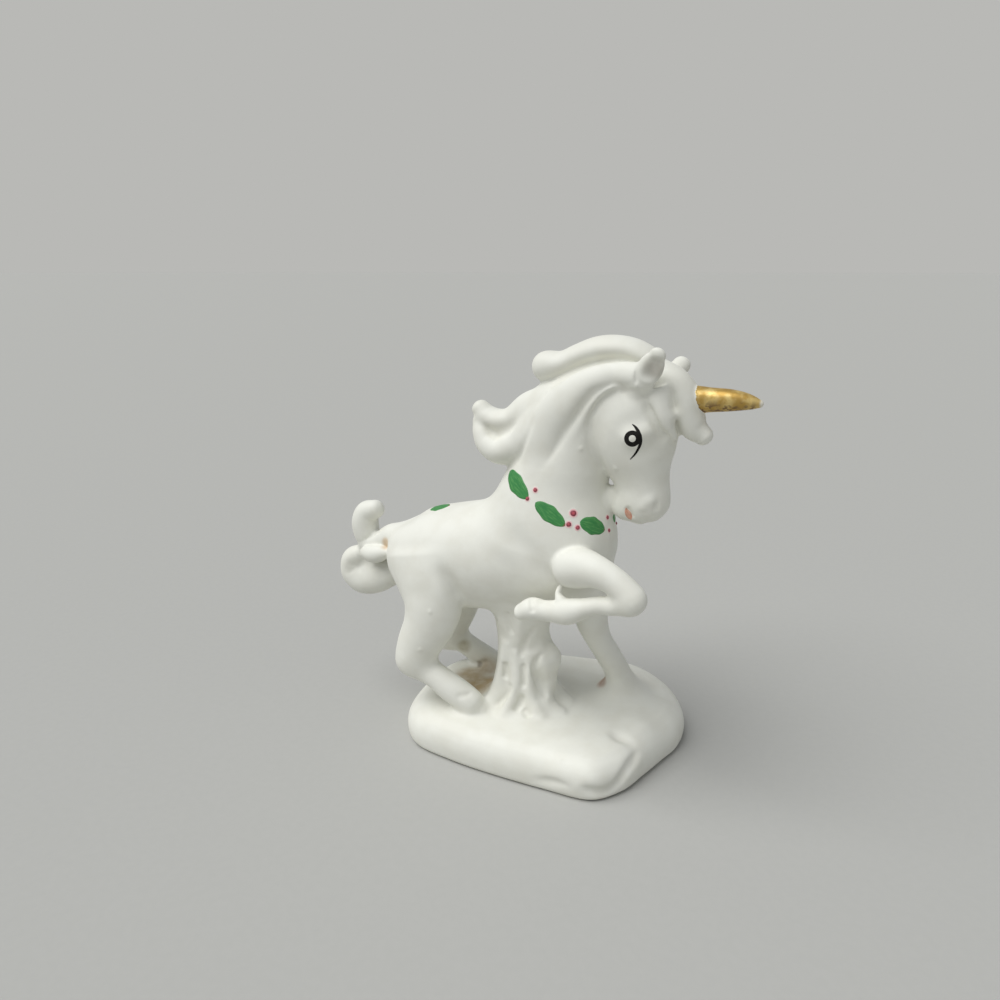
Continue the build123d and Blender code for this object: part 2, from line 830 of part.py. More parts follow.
# Coats of paint: each is the skin of the casting, a film thick, inside its outline
with BuildPart() as body_skin:
    add([cast(torso_shape, grow=paint), cast(neck_shape, grow=paint)])
head_skin = cast(head_shape, grow=paint)
garland_axis = spot(neck_shape, 0.114, 0, 0)

# Right side of the garland: heading, share of the neck's climb, tilt and share of size
leaf_rows = [(-126, 0.405, -22, 1.0), (-73, 0.25, -37, 0.98), (-27, 0.182, -18, 0.72)]
berry_rows = [(-97, 0.395, 1.0), (-106, 0.333, 1.0), (-48, 0.26, 1.3), (-54, 0.195, 1.0), (-44, 0.175, 1.0)]
front_berry_rows = [(3, 0.19, 1.0), (-4, 0.095, 1.0)]


def garland_plane(heading, climb_share, tilt=0):
    """A plane in the neck that faces out at a heading, with its X turned up by a tilt."""
    turn = math.radians(heading)
    lift = math.radians(tilt)
    facing = Vector(math.cos(turn), math.sin(turn), 0)
    level = Vector(-math.sin(turn), math.cos(turn), 0) * math.cos(lift) + Vector(0, 0, math.sin(lift))
    origin = garland_axis + Vector(0, 0, neck_climb * climb_share)
    return Plane(origin=origin, x_dir=level, z_dir=facing)


def leaf(length, width):
    """A leaf between two arcs."""
    with BuildSketch() as outline:
        with BuildLine():
            ThreePointArc((-length / 2, 0), (0, width / 2), (length / 2, 0))
            ThreePointArc((length / 2, 0), (0, -width / 2), (-length / 2, 0))
        make_face()
    return outline.sketch


with BuildPart() as holly_leaves:
    for heading, climb_share, tilt, size_share in leaf_rows:
        for hand in (-1, 1):
            with BuildSketch(garland_plane(-hand * heading, climb_share, -hand * tilt)):
                add(leaf(leaf_length * size_share, leaf_width))
            extrude(amount=neck_depth)
    with BuildSketch(Plane(origin=spot(torso_shape, 0.258, 0.04, 0), x_dir=(1, -0.2, 0), z_dir=(0, 0, 1))):
        add(leaf(rump_leaf_length, leaf_width))
    extrude(amount=torso_depth)
    add(body_skin.part, mode=Mode.INTERSECT)
    add([torso_form, neck_form, *side_forms], mode=Mode.SUBTRACT)
holly_leaves.part.label = "holly_leaves"
export_step(holly_leaves.part, "parts/holly_leaves.step")

mirrored_rows = [(-heading, climb_share, size_share) for heading, climb_share, size_share in berry_rows]
with BuildPart() as holly_berries:
    for heading, climb_share, size_share in berry_rows + mirrored_rows + front_berry_rows:
        with BuildSketch(garland_plane(heading, climb_share)):
            Circle(berry_radius * size_share)
        extrude(amount=neck_depth)
    add(body_skin.part, mode=Mode.INTERSECT)
    add([torso_form, neck_form, holly_leaves.part], mode=Mode.SUBTRACT)
holly_berries.part.label = "holly_berries"
export_step(holly_berries.part, "parts/holly_berries.step")

# Painted eyes: a ring round the pupil and a lash that sweeps past it
lash_top = (lash_height * 0.01, lash_height * 0.41)
lash_bottom = (-lash_height * 0.07, -lash_height * 0.59)
lash_outer = (lash_height * 0.25, -lash_height * 0.05)
lash_inner = (lash_height * 0.18, -lash_height * 0.05)
for label, hand in (("right", -1), ("left", 1)):
    with BuildPart() as eye:
        with BuildSketch(Plane(origin=spot(head_shape, 0.42, 0, -0.383), x_dir=(1, 0, 0), z_dir=(0, -1, 0))):
            Circle(eye_radius)
            Circle(pupil_radius, mode=Mode.SUBTRACT)
            with BuildLine():
                ThreePointArc(lash_top, lash_outer, lash_bottom)
                ThreePointArc(lash_bottom, lash_inner, lash_top)
            make_face()
        extrude(amount=-hand * head_width)
        add(head_skin, mode=Mode.INTERSECT)
        add(head_form, mode=Mode.SUBTRACT)
    eye.part.label = f"eye_{label}"
    export_step(eye.part, f"parts/eye_{label}.step")

# Painted mouth: one stroke on each side of the lower lip
with BuildPart() as mouth:
    for hand in (-1, 1):
        facing = Vector(-0.45, hand, -0.4)
        with BuildSketch(Plane(origin=spot(head_shape, 0.3, 0, -0.90), x_dir=(1, 0, -1), z_dir=facing)):
            add(leaf(mouth_length, mouth_width))
        extrude(amount=head_width)
    add(head_skin, mode=Mode.INTERSECT)
    add(head_form, mode=Mode.SUBTRACT)
mouth.part.label = "mouth"
export_step(mouth.part, "parts/mouth.step")
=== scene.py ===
# %% [markdown]
# # A bisque porcelain unicorn
# The object is a small slip-cast figurine. It was cast hollow in plaster moulds, its thin
# parts were luted on with slip, and it was fired and painted by hand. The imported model
# gives the frame: every piece below stands where its CAD solid stands, in metres.

# %% Load the frame
import math
from collections import namedtuple

import bpy
import numpy as np
import openvdb
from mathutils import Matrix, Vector
from mathutils.bvhtree import BVHTree


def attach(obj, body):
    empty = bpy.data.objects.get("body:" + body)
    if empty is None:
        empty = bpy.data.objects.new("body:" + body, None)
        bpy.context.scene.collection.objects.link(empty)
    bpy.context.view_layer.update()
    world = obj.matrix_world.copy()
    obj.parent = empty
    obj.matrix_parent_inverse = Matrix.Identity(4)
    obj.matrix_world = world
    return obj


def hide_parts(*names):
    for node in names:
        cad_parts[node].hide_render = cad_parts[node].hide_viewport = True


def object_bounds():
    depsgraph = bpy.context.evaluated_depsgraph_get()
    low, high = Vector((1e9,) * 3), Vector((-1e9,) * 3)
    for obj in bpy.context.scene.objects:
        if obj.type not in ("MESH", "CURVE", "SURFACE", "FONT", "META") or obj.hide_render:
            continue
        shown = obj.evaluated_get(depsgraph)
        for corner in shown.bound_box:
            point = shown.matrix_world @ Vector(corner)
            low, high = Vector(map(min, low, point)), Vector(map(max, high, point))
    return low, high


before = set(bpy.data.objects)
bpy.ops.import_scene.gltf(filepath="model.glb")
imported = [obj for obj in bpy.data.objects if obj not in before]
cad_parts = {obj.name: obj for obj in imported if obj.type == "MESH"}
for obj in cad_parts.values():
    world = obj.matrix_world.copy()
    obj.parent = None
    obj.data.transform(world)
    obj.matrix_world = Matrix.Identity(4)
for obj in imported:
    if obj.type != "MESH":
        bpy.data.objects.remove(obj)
cad_low, cad_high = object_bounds()
print("nodes in the frame:", len(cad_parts))

# %% [markdown]
# ## The camera
# The picture was taken by a hand-held phone from the unicorn's right side, a little ahead
# of it and looking down. Its focal length is written in pixels of the 1000 pixel frame, so
# that a place in the picture turns into a ray by plain geometry. The camera comes first,
# because the marks on the clay are traced through it.

# %% The camera
mm = 0.001
picture = 1000
focal = 751.0
sensor = 36.0
near_clip = 0.01
camera_place = Vector((66.8, -174.1, 127.0))
camera_turn = math.radians(25)
camera_dip = math.radians(17)


def stand(name, data):
    """Puts an object that carries a mesh, a lamp or a camera into the scene."""
    thing = bpy.data.objects.new(name, data)
    bpy.context.scene.collection.objects.link(thing)
    return thing


lens = bpy.data.cameras.new("phone_lens")
lens.sensor_width = sensor
lens.lens = sensor * focal / picture
lens.clip_start = near_clip
camera = stand("phone_camera", lens)
camera.location = camera_place * mm
camera.rotation_euler = (math.pi / 2 - camera_dip, 0, camera_turn)
bpy.context.scene.camera = camera
print("lens:", round(lens.lens, 2), "mm")


def sight(u, v):
    """The direction from the camera through a pixel of the picture."""
    ray = Vector((u - picture / 2, picture / 2 - v, -focal))
    ray.rotate(camera.rotation_euler)
    return ray.normalized()


# %% [markdown]
# ## The forms
# Every casting is first a plain form: a line through its middle, with a ring of its own
# depth and width at each place. A table holds the rings as shares of a few real sizes.
# The body's own forms keep the sizes of the construction. All lengths from here on are in
# millimetres, and meshes are scaled to metres when made.

# %% Sizes of the figurine
# Rock base
base_length = 75.5
base_width = 59.5
base_height = 10.5
base_offset_x = -1.5
base_offset_y = 6.0

# Torso: its line runs from the rump to the chest and climbs on the way
rump_setback = 48.0
leg_room = 39.5
torso_length = 66.0
torso_climb = 30.0
torso_depth = 31.0
torso_width = 28.0

# Neck, from inside the shoulders up to the poll
neck_reach = 22.0
neck_climb = 40.0
neck_depth = 30.0
neck_width = 25.0

# Head, from the poll down to the muzzle
head_reach = 5.0
head_drop = 36.0
head_depth = 21.0
head_width = 17.5

# Hind legs
hind_reach = 20.0
hind_spread = 8.0
hind_depth = 17.0
hind_width = 13.0

# Depth to which a foot is let into the base before the cut
foot_sink = 1.0

# Tree stump
stump_setback = 7.4
stump_depth = 17.0
stump_width = 16.0

# Hollow casting: the wall and the drain hole, which is behind the stump
wall = 3.0
drain_radius = 4.0
drain_setback = 2 * stump_setback

# %% A form and a place on it
Form = namedtuple("Form", "start reach depth width shares")


def spot(form, along_share, side_share, rise_share):
    """A place on a form: shares of its reach, and of half its width to the side."""
    step = Vector((form.reach.x * along_share, form.width / 2 * side_share, form.reach.z * rise_share))
    return form.start + step


# %% Tables of rings
# Each ring: shares of the reach in X, Y and Z, of the depth and of the width
torso_shares = [
    (0.00, 0, -0.10, 0.24, 0.26), (0.03, 0, -0.09, 0.50, 0.54), (0.10, 0, -0.06, 0.74, 0.80),
    (0.20, 0, -0.02, 0.88, 0.94), (0.34, 0, 0.03, 0.95, 1.00), (0.48, 0, 0.09, 0.98, 0.98),
    (0.63, 0, 0.18, 1.00, 0.97), (0.77, 0, 0.27, 1.04, 0.98), (0.88, 0, 0.34, 0.92, 0.86),
    (0.95, 0, 0.37, 0.62, 0.60), (0.985, 0, 0.38, 0.26, 0.28),
]
neck_shares = [
    (0.00, 0, 0.00, 1.00, 0.95), (0.07, 0, 0.25, 0.97, 0.93), (0.18, 0, 0.45, 0.83, 0.82),
    (0.35, 0, 0.68, 0.72, 0.70), (0.60, 0, 0.88, 0.62, 0.64), (0.95, 0, 0.98, 0.55, 0.60),
]
head_shares = [
    (0.80, 0, 0.02, 0.30, 0.36), (0.85, 0, -0.06, 0.58, 0.66), (0.35, 0, -0.17, 0.86, 0.92),
    (0.05, 0, -0.34, 1.00, 1.00), (0.22, 0, -0.54, 0.88, 0.86), (0.50, 0, -0.70, 0.66, 0.68),
    (0.74, 0, -0.84, 0.58, 0.62), (0.84, 0, -0.92, 0.48, 0.52), (0.90, 0, -0.975, 0.24, 0.28),
]
right_thigh_shares = [
    (0.00, 0.00, 0.02, 1.25, 0.92), (0.07, 0.25, -0.15, 1.08, 1.00),
    (0.12, 0.42, -0.29, 0.91, 0.97), (0.07, 0.56, -0.43, 0.75, 0.85),
    (-0.03, 0.69, -0.565, 0.66, 0.75), (-0.05, 0.76, -0.66, 0.60, 0.70),
    (-0.04, 0.79, -0.73, 0.40, 0.48), (-0.03, 0.80, -0.755, 0.18, 0.22),
]
left_thigh_shares = [
    (0.00, 0.00, 0.02, 1.25, 0.92), (0.06, 0.20, -0.17, 1.06, 1.00),
    (0.07, 0.30, -0.34, 0.88, 0.92), (0.01, 0.35, -0.51, 0.70, 0.80),
    (-0.10, 0.40, -0.665, 0.59, 0.70), (-0.22, 0.46, -0.79, 0.55, 0.66),
    (-0.26, 0.48, -0.86, 0.42, 0.50), (-0.27, 0.49, -0.89, 0.20, 0.25),
]
stump_shares = [
    (0, 0, -0.03, 1.30, 1.30), (0, 0, 0.07, 1.08, 1.08), (0, 0, 0.28, 0.90, 0.90),
    (0, 0, 0.50, 0.82, 0.82), (0, 0, 0.70, 0.85, 0.85), (0, 0, 0.92, 1.00, 1.00),
    (0, 0, 1.05, 1.10, 1.10),
]

# Outline of the rock base, in shares of its half length and half width
base_shares = [
    (-0.93, -0.70), (-0.77, -0.90), (-0.49, -0.97), (-0.21, -0.995), (0.27, -0.99),
    (0.60, -0.95), (0.76, -0.74), (0.85, -0.45), (0.92, -0.19), (0.99, 0.10), (0.975, 0.40),
    (0.80, 0.77), (0.49, 1.00), (0.12, 0.925), (-0.28, 0.81), (-0.70, 0.605), (-0.965, 0.20),
    (-1.00, -0.30),
]
# Layers of the base and of its hollow: the share of the height and of the outline
base_layers = [
    (0.0, 0.955), (0.06, 0.985), (0.25, 1.0), (0.5, 0.995), (0.72, 0.965), (0.88, 0.91),
    (0.97, 0.83), (1.0, 0.70),
]
hollow_layers = [(0.0, 0.96), (0.5, 1.0), (1.0, 0.94)]

# %% Forms, each placed on the form that carries it
# Where a joint is on the form that carries it: shares along, to the side, and up
neck_root = (0.712, 0, 0.333)
poll = (1.0, 0, 1.1)
hip = (0.227, 0.5, 0.033)
belly = (0.615, 0, 0.17)

torso_shape = Form(
    Vector((-rump_setback, 0, base_height + leg_room)),
    Vector((torso_length, 0, torso_climb)),
    torso_depth,
    torso_width,
    torso_shares,
)
neck_run = Vector((neck_reach, 0, neck_climb))
neck_shape = Form(spot(torso_shape, *neck_root), neck_run, neck_depth, neck_width, neck_shares)
head_run = Vector((head_reach, 0, head_drop))
head_shape = Form(spot(neck_shape, *poll), head_run, head_depth, head_width, head_shares)
hind_shapes = {}
for label, hand, table in (("right", -1, right_thigh_shares), ("left", 1, left_thigh_shares)):
    hind_start = spot(torso_shape, hip[0], hand * hip[1], hip[2])
    hind_run = Vector((hind_reach, hand * hind_spread, hind_start.z - base_height + foot_sink))
    hind_shapes[label] = Form(hind_start, hind_run, hind_depth, hind_width, table)
belly_height = spot(torso_shape, *belly).z - torso_depth / 2
stump_shape = Form(
    Vector((-stump_setback, 0, base_height)),
    Vector((0, 0, belly_height - base_height + foot_sink)),
    stump_depth,
    stump_width,
    stump_shares,
)
print("belly at", round(belly_height, 1), "mm")

# %% [markdown]
# ## Clay as a distance field
# Clay is easiest to model as a field: at every point of a fine lattice stands the distance
# to the surface, negative inside. Two lumps are luted together by taking the smaller
# distance, and a thumb that smooths the joint is a soft minimum with a radius in
# millimetres. A pressed groove just adds a little distance along a line. The lattice is
# finer than the details, and the surface is read back from it as a closed mesh.

# %% Smooth rings and tubes
steps_between_rings = 8
sides_of_tube = 144
least_gap = 1e-6
# Turns, in radians, at which the round end of a tube has its rings
round_end = (0.5, 0.95, 1.35)


def smooth_rows(rows, closed=False):
    """More rows between the given ones, on a curve that passes through all of them."""
    rows = np.asarray(rows, float)
    if closed:
        rows = np.vstack([rows[-1], rows, rows[:2]])
    else:
        rows = np.vstack([2 * rows[0] - rows[1], rows, 2 * rows[-1] - rows[-2]])
    between = []
    for before, start, end, after in zip(rows, rows[1:], rows[2:], rows[3:]):
        # Roots of the gaps keep the curve from swinging out where rows are unevenly spaced
        gaps = [
            max(np.linalg.norm((far - near)[:3]), least_gap) ** 0.5
            for near, far in ((before, start), (start, end), (end, after))
        ]
        leave = ((start - before) / gaps[0] - (end - before) / (gaps[0] + gaps[1])) * gaps[1] + (end - start)
        arrive = ((after - end) / gaps[2] - (after - start) / (gaps[1] + gaps[2])) * gaps[1] + (end - start)
        for step in range(steps_between_rings):
            t = step / steps_between_rings
            between.append(
                (2 * t**3 - 3 * t**2 + 1) * start
                + (t**3 - 2 * t**2 + t) * leave
                + (3 * t**2 - 2 * t**3) * end
                + (t**3 - t**2) * arrive
            )
    if not closed:
        between.append(rows[-2])
    return np.array(between)


# %% Skins and ovals round a line
def skin_rings(rings):
    """Points, quads and end triangles of a closed tube through rings of points."""
    count, sides = rings.shape[:2]
    here = np.arange(count * sides).reshape(count, sides)
    beside = np.roll(here, -1, axis=1)
    quads = np.stack([here[:-1], beside[:-1], beside[1:], here[1:]], -1).reshape(-1, 4)
    middle = np.full(sides, count * sides)
    caps = np.vstack(
        [
            np.stack([beside[0], here[0], middle], 1),
            np.stack([here[-1], beside[-1], middle + 1], 1),
        ]
    )
    points = np.vstack([rings.reshape(-1, 3), rings[0].mean(0), rings[-1].mean(0)])
    return points.astype(np.float32), quads.astype(np.uint32), caps.astype(np.uint32)


def unit(rows):
    """Each row divided by its length."""
    return rows / np.linalg.norm(rows, axis=1)[:, None]


def ovals(line, across, up, half_width, half_height):
    """An oval ring of points round each place of a line."""
    turns = np.linspace(0, 2 * math.pi, sides_of_tube, endpoint=False)[None, :, None]
    wide = np.cos(turns) * across[:, None] * half_width[:, None, None]
    high = np.sin(turns) * up[:, None] * half_height[:, None, None]
    return line[:, None] + wide + high


def tube_rings(rows):
    """Rings of points round a line. A row holds X, Y and Z, the depth, and the width across."""
    rows = smooth_rows(rows)
    heading = unit(np.gradient(rows[:, :3], axis=0))
    side = unit(np.array([0.0, 1.0, 0.0]) - heading * heading[:, 1:2])
    return ovals(rows[:, :3], side, np.cross(heading, side), rows[:, 4] / 2, rows[:, 3] / 2)


def form_rings(form):
    """Rings of a form whose table holds shares of its sizes."""
    start = np.array([*form.start, 0, 0])
    sizes = np.array([*form.reach, form.depth, form.width])
    return tube_rings([start + sizes * share for share in form.shares])


# %% Rings traced from the picture
def place_at(u, v, level):
    """Where the ray through a pixel crosses the upright plane at a level of Y, and a pixel's size there."""
    ray = sight(u, v)
    reach = (level - camera_place.y) / ray.y
    return np.array(camera_place + ray * reach), reach * ray.dot(sight(picture / 2, picture / 2)) / focal


def traced_rings(rows):
    """A tube with round ends, traced from the picture.

    A row holds the pixel, the level of Y, the depth in pixels and the share of it that is
    the width.
    """
    line = []
    for u, v, level, pixels, share in rows:
        place, pixel = place_at(u, v, level)
        line.append(np.array([*place, pixels * pixel, pixels * pixel * share]))
    for end, step in ((0, 1), (-1, -1)):
        tip = line[end]
        away = (tip - line[end + step])[:3]
        away *= tip[3] / 2 / np.linalg.norm(away)
        for turn in round_end:
            round_row = np.array([*(tip[:3] + away * math.sin(turn)), *(tip[3:] * math.cos(turn))])
            line.insert(0 if end == 0 else len(line), round_row)
    return tube_rings(line)


# %% Rings of the rock base
def base_rings(inset, layers):
    """Outlines of the rock base, drawn in by an inset, for layers of (share of height, share of outline)."""
    middle = np.array([base_offset_x, base_offset_y])
    halves = np.array([base_length, base_width]) / 2 - inset
    height = base_height - 2 * inset
    outline = smooth_rows([(*place, 0) for place in base_shares], closed=True)
    levels = smooth_rows([(inset + height * level, share, 0) for level, share in layers])
    return np.array(
        [
            [(*(middle + halves * share * place), level) for place in outline[:, :2]]
            for level, share, _ in levels
        ]
    )


# %% Distance fields
reach_of_field = 6.0
fine = 0.35
# The rock is large and plain, so its lattice is a little coarser
fine_for_rock = 0.44
rough = 0.8


class Lattice:
    """A block of lattice points, with its lowest index, its shape and its spacing."""

    def __init__(self, low, high, spacing):
        self.spacing = spacing
        self.low = np.floor(np.array(low) / spacing).astype(int) - 3
        self.shape = tuple(np.ceil(np.array(high) / spacing).astype(int) + 4 - self.low)

    def window(self, low, high):
        """Slices of the block between two corners in millimetres, or None if it lies outside."""
        first = np.maximum(np.floor(np.array(low) / self.spacing).astype(int) - self.low, 0)
        last = np.minimum(np.ceil(np.array(high) / self.spacing).astype(int) + 1 - self.low, self.shape)
        if (last <= first).any():
            return None
        return tuple(slice(a, b) for a, b in zip(first, last))

    def places(self, window):
        """The X, Y and Z of the points in a window, ready to be broadcast."""
        counts = [np.arange(part.start, part.stop) + low for part, low in zip(window, self.low)]
        return np.ix_(*[count * self.spacing for count in counts])


class Lump:
    """One form of clay, as a closed mesh and as its distance field at each spacing."""

    def __init__(self, rings, soft):
        self.mesh = skin_rings(rings)
        self.soft = soft
        self.low = rings.reshape(-1, 3).min(0) - reach_of_field
        self.high = rings.reshape(-1, 3).max(0) + reach_of_field
        self.grids = {}

    def distance(self, lattice, window):
        """The distance to the form in a window of the lattice."""
        if lattice.spacing not in self.grids:
            points, quads, caps = self.mesh
            self.grids[lattice.spacing] = openvdb.FloatGrid.createLevelSetFromPolygons(
                points,
                triangles=caps,
                quads=quads,
                transform=openvdb.createLinearTransform(lattice.spacing),
                halfWidth=reach_of_field / lattice.spacing,
            )
        values = np.empty([part.stop - part.start for part in window], np.float32)
        low = [int(part.start + low) for part, low in zip(window, lattice.low)]
        self.grids[lattice.spacing].copyToArray(values, ijk=low)
        return values


# %% Luting
def lute(one, other, soft):
    """Joins two fields, with the joint smoothed over a width."""
    joined = np.minimum(one, other)
    if soft > 0:
        near = np.maximum(soft - np.abs(one - other), 0) / soft
        joined -= near * near * soft / 4
    return joined


# %% [markdown]
# ## The castings
# Each casting names its forms and how softly each form is smoothed into what was there
# before it: a leg flows into the body over several millimetres, while a lock of the mane
# keeps a crisp edge. The order is the order of luting.

# %% Tubes traced from the picture
# Each row: pixel across, pixel down, level of Y in mm, depth in pixels, width as a share of it
horn_rows = [
    (694, 399.5, 0, 27, 1.0), (712, 399.9, 0, 24, 1.0), (730, 400.3, 0, 21.7, 1.0),
    (744, 401.4, 0, 17.6, 1.0), (754, 403, 0, 12.5, 1.0), (759.5, 404, 0, 8, 1.0),
]
right_ear_rows = [
    (637, 390, -6.5, 17, 0.8), (643, 380, -7.4, 23, 0.75), (650, 369, -8.4, 27, 0.65),
    (655.5, 360, -9.2, 23, 0.6), (657.5, 356, -9.5, 18, 0.6),
]
left_ear_rows = [(670, 377, 4.5, 19, 0.8), (676.5, 370, 6.5, 20, 0.8), (681.5, 365, 8.0, 18.5, 0.8)]
forelock_rows = [
    (660, 374, 0, 30, 1.3), (675.5, 383, 0, 30, 1.45), (686, 398, 0, 29, 1.5),
    (689.5, 414, 0, 29, 1.4), (694.5, 427.5, 0, 26.5, 1.25), (703, 435.3, 0, 20, 1.15),
]
crest_rows = [
    (650, 358, 0, 22, 1.6), (634, 351, 0, 25, 1.6), (615, 348.5, 0, 27, 1.6),
    (598, 350, 0, 27, 1.55), (580, 356.5, 0, 26, 1.5), (564, 363.5, 0, 26, 1.4),
    (547.5, 366.3, 0, 31, 1.1),
]
upper_lock_rows = [
    (552, 396, 0, 32, 1.2), (528, 408, 0, 24, 1.3), (511, 418.5, 0, 22, 1.4),
    (497, 419.5, 0, 22, 1.3), (487, 415, 0, 21, 1.2), (481.5, 409, 0, 18.5, 1.1),
]
lower_lock_rows = [
    (538, 428, -1, 36, 1.1), (516, 445, -1.5, 36, 1.15), (500, 449, -2, 30, 1.2),
    (488, 442, -2, 25, 1.1), (481.8, 432, -1.8, 19, 1.0), (479, 422.5, -1, 13, 1.0),
]
forearm_rows = [
    (572, 567.5, -12, 41, 1.0), (583, 568, -13, 41, 0.95), (597, 572, -14.5, 34, 0.95),
    (612, 580, -15.3, 29.5, 0.95), (624, 590.5, -15.7, 30, 0.95), (631, 600, -16, 33, 0.9),
]
cannon_rows = [
    (628, 603, -15.5, 24, 0.95), (612, 606, -16, 20, 1.0), (600, 605.5, -16, 18.5, 1.0),
    (587, 607.3, -16, 19, 1.05), (576, 610, -16, 24, 1.0), (566, 612, -16, 26.5, 0.95),
    (553, 611.3, -16, 22, 1.05), (543, 610.3, -16, 20.5, 1.1), (532, 608.7, -16, 22.5, 1.1),
    (523, 611.2, -16, 17.5, 1.2),
]
web_rows = [(560, 589, -13.5, 7, 1.3), (558.5, 594, -14.5, 6.5, 1.4), (561, 600, -15.5, 9, 1.2)]
planted_rows = [
    (586, 556, 5, 46, 1.1), (588, 580, 6.5, 44, 1.05), (590, 604, 8, 37, 0.95),
    (592, 621, 8.5, 32, 1.0), (598.5, 638, 10, 26, 1.0), (609, 655.5, 12, 25, 1.0),
    (616.5, 669, 14, 25, 1.05), (621, 681, 15, 28, 1.1),
]
right_gaskin_rows = [
    (434, 575, -9.5, 52, 0.75), (437, 592, -10.5, 50, 0.75), (437, 606, -11.5, 50, 0.72),
    (433, 622, -12.3, 46, 0.7), (425, 637, -12.8, 41, 0.72), (417, 650, -13.2, 36, 0.75),
    (414, 658, -13.3, 31, 0.8),
]
right_shank_rows = [
    (413, 659, -13.2, 30, 0.9), (425, 668, -13.2, 26.5, 0.95), (438, 677, -13.1, 25.5, 1.0),
    (449, 686, -12.9, 27.5, 1.0), (459, 693, -12.5, 27, 1.05), (470, 701, -12.1, 25, 1.1),
]
left_gaskin_rows = [
    (445, 588, 8, 44, 0.75), (444, 605, 9, 34, 0.8), (447, 618, 10, 26, 0.85),
    (451, 629, 10.5, 20, 0.95),
]
left_shank_rows = [
    (450.5, 630, 10.5, 19, 0.95), (462, 640, 11.5, 21, 0.95), (475, 649.5, 12.5, 22, 0.95),
    (488, 658, 13.5, 22, 1.0), (500, 666, 14, 21, 1.0),
]
stub_rows = [(538, 652, 0, 24, 1.0), (549.5, 655, 0, 22, 1.0), (551, 660, 0, 20, 1.0)]
dock_rows = [
    (418, 543, 0, 32, 1.0), (406, 537.5, 0, 29, 1.0), (394, 537, 0, 28, 1.0),
    (381, 540.5, 0, 20, 1.05), (366, 545, 0, 12, 1.2),
]
upper_curl_rows = [
    (373, 545, 1, 22, 1.0), (367, 532, 1, 26, 1.0), (365.3, 521, 1, 26.5, 1.0),
    (367.5, 512.5, 1, 24, 1.0), (374.8, 509.3, 1, 19.5, 1.0),
]
lower_curl_rows = [
    (362, 552, 0, 16, 1.1), (353.5, 557, 0.5, 19, 1.3), (354.5, 569, 1, 25, 1.2),
    (363, 577.5, 1, 30, 1.0), (376, 578.5, 1, 29, 0.95), (386, 575, 0.5, 26, 0.9),
]
front_lock_rows = [
    (367.5, 552.5, -3.5, 15, 1.0), (374.5, 553.7, -4, 18.5, 1.0), (382.5, 553, -4.3, 15.5, 1.0),
    (388.5, 552.4, -4.5, 8, 1.0),
]
bridge_rows = [(602, 497.5, 0, 24, 0.75), (616, 496.5, 0, 23, 0.7)]
nape_rows = [
    (646, 374, 0, 34, 1.3), (622, 374, 0, 36, 1.35), (600, 379, 0, 40, 1.35),
    (577, 392, 0, 46, 1.25), (556, 410, 0, 50, 1.2), (540, 432, 0, 50, 1.2),
]
lock_web_rows = [(535, 416, 0.5, 50, 0.8), (513, 431, 0.5, 38, 0.75), (494, 431, 0.5, 26, 0.75)]
cheek_rows = [(629, 430, 0, 78, 0.86), (632, 426, 0, 78, 0.86)]
muzzle_rows = [(628, 505, 0, 30, 1.2), (641, 503, 0, 38, 1.1), (648, 503, 0, 31, 1.2)]
scoop_rows = [
    (357, 560, 1.2, 22, 0.9), (367, 565, 1.5, 29, 0.8), (380, 569, 1.6, 29, 0.8), (392, 569, 1.2, 26, 0.8),
]
front_mound_rows = [(612, 694, 14, 26, 1.5), (628, 690, 17, 26, 1.5)]

# %% The castings and the softness of their joints
def traced(rows, soft):
    """A lump of clay traced from the picture, with the softness of its joint in millimetres."""
    return Lump(traced_rings(rows), soft)


castings = {
    "base": [Lump(base_rings(0, base_layers), 0), traced(front_mound_rows, 5.0)],
    "tree_stump": [Lump(form_rings(stump_shape), 5.0), traced(stub_rows, 3.0)],
    "torso": [Lump(form_rings(torso_shape), 3.0)],
    "neck": [Lump(form_rings(neck_shape), 6.0), traced(nape_rows, 4.0)],
    "head": [Lump(form_rings(head_shape), 1.0), traced(cheek_rows, 3.0), traced(muzzle_rows, 3.0)],
    "hind_leg_right": [
        Lump(form_rings(hind_shapes["right"]), 4.0),
        traced(right_gaskin_rows, 3.0),
        traced(right_shank_rows, 2.5),
    ],
    "hind_leg_left": [
        Lump(form_rings(hind_shapes["left"]), 4.0),
        traced(left_gaskin_rows, 3.0),
        traced(left_shank_rows, 2.5),
    ],
    "planted_foreleg": [traced(planted_rows, 3.0)],
    "raised_forearm": [traced(forearm_rows, 1.0)],
    "raised_cannon": [traced(cannon_rows, 1.6)],
    "foreleg_web": [traced(web_rows, 1.0)],
    "chin_bridge": [traced(bridge_rows, 1.2)],
    "mane_crest": [traced(crest_rows, 1.0)],
    "mane_lock_upper": [traced(upper_lock_rows, 1.5), traced(lock_web_rows, 1.5)],
    "mane_lock_lower": [traced(lower_lock_rows, 1.5)],
    "forelock": [traced(forelock_rows, 1.8)],
    "ear_right": [traced(right_ear_rows, 1.2)],
    "ear_left": [traced(left_ear_rows, 1.2)],
    "horn": [traced(horn_rows, 0.5)],
    "tail_dock": [traced(dock_rows, 2.0)],
    "tail_upper_curl": [traced(upper_curl_rows, 1.2)],
    "tail_lower_curl": [traced(lower_curl_rows, 1.2), traced(scoop_rows, 2.5)],
    "tail_front_lock": [traced(front_lock_rows, 0.5)],
}
print("body castings:", len(castings))


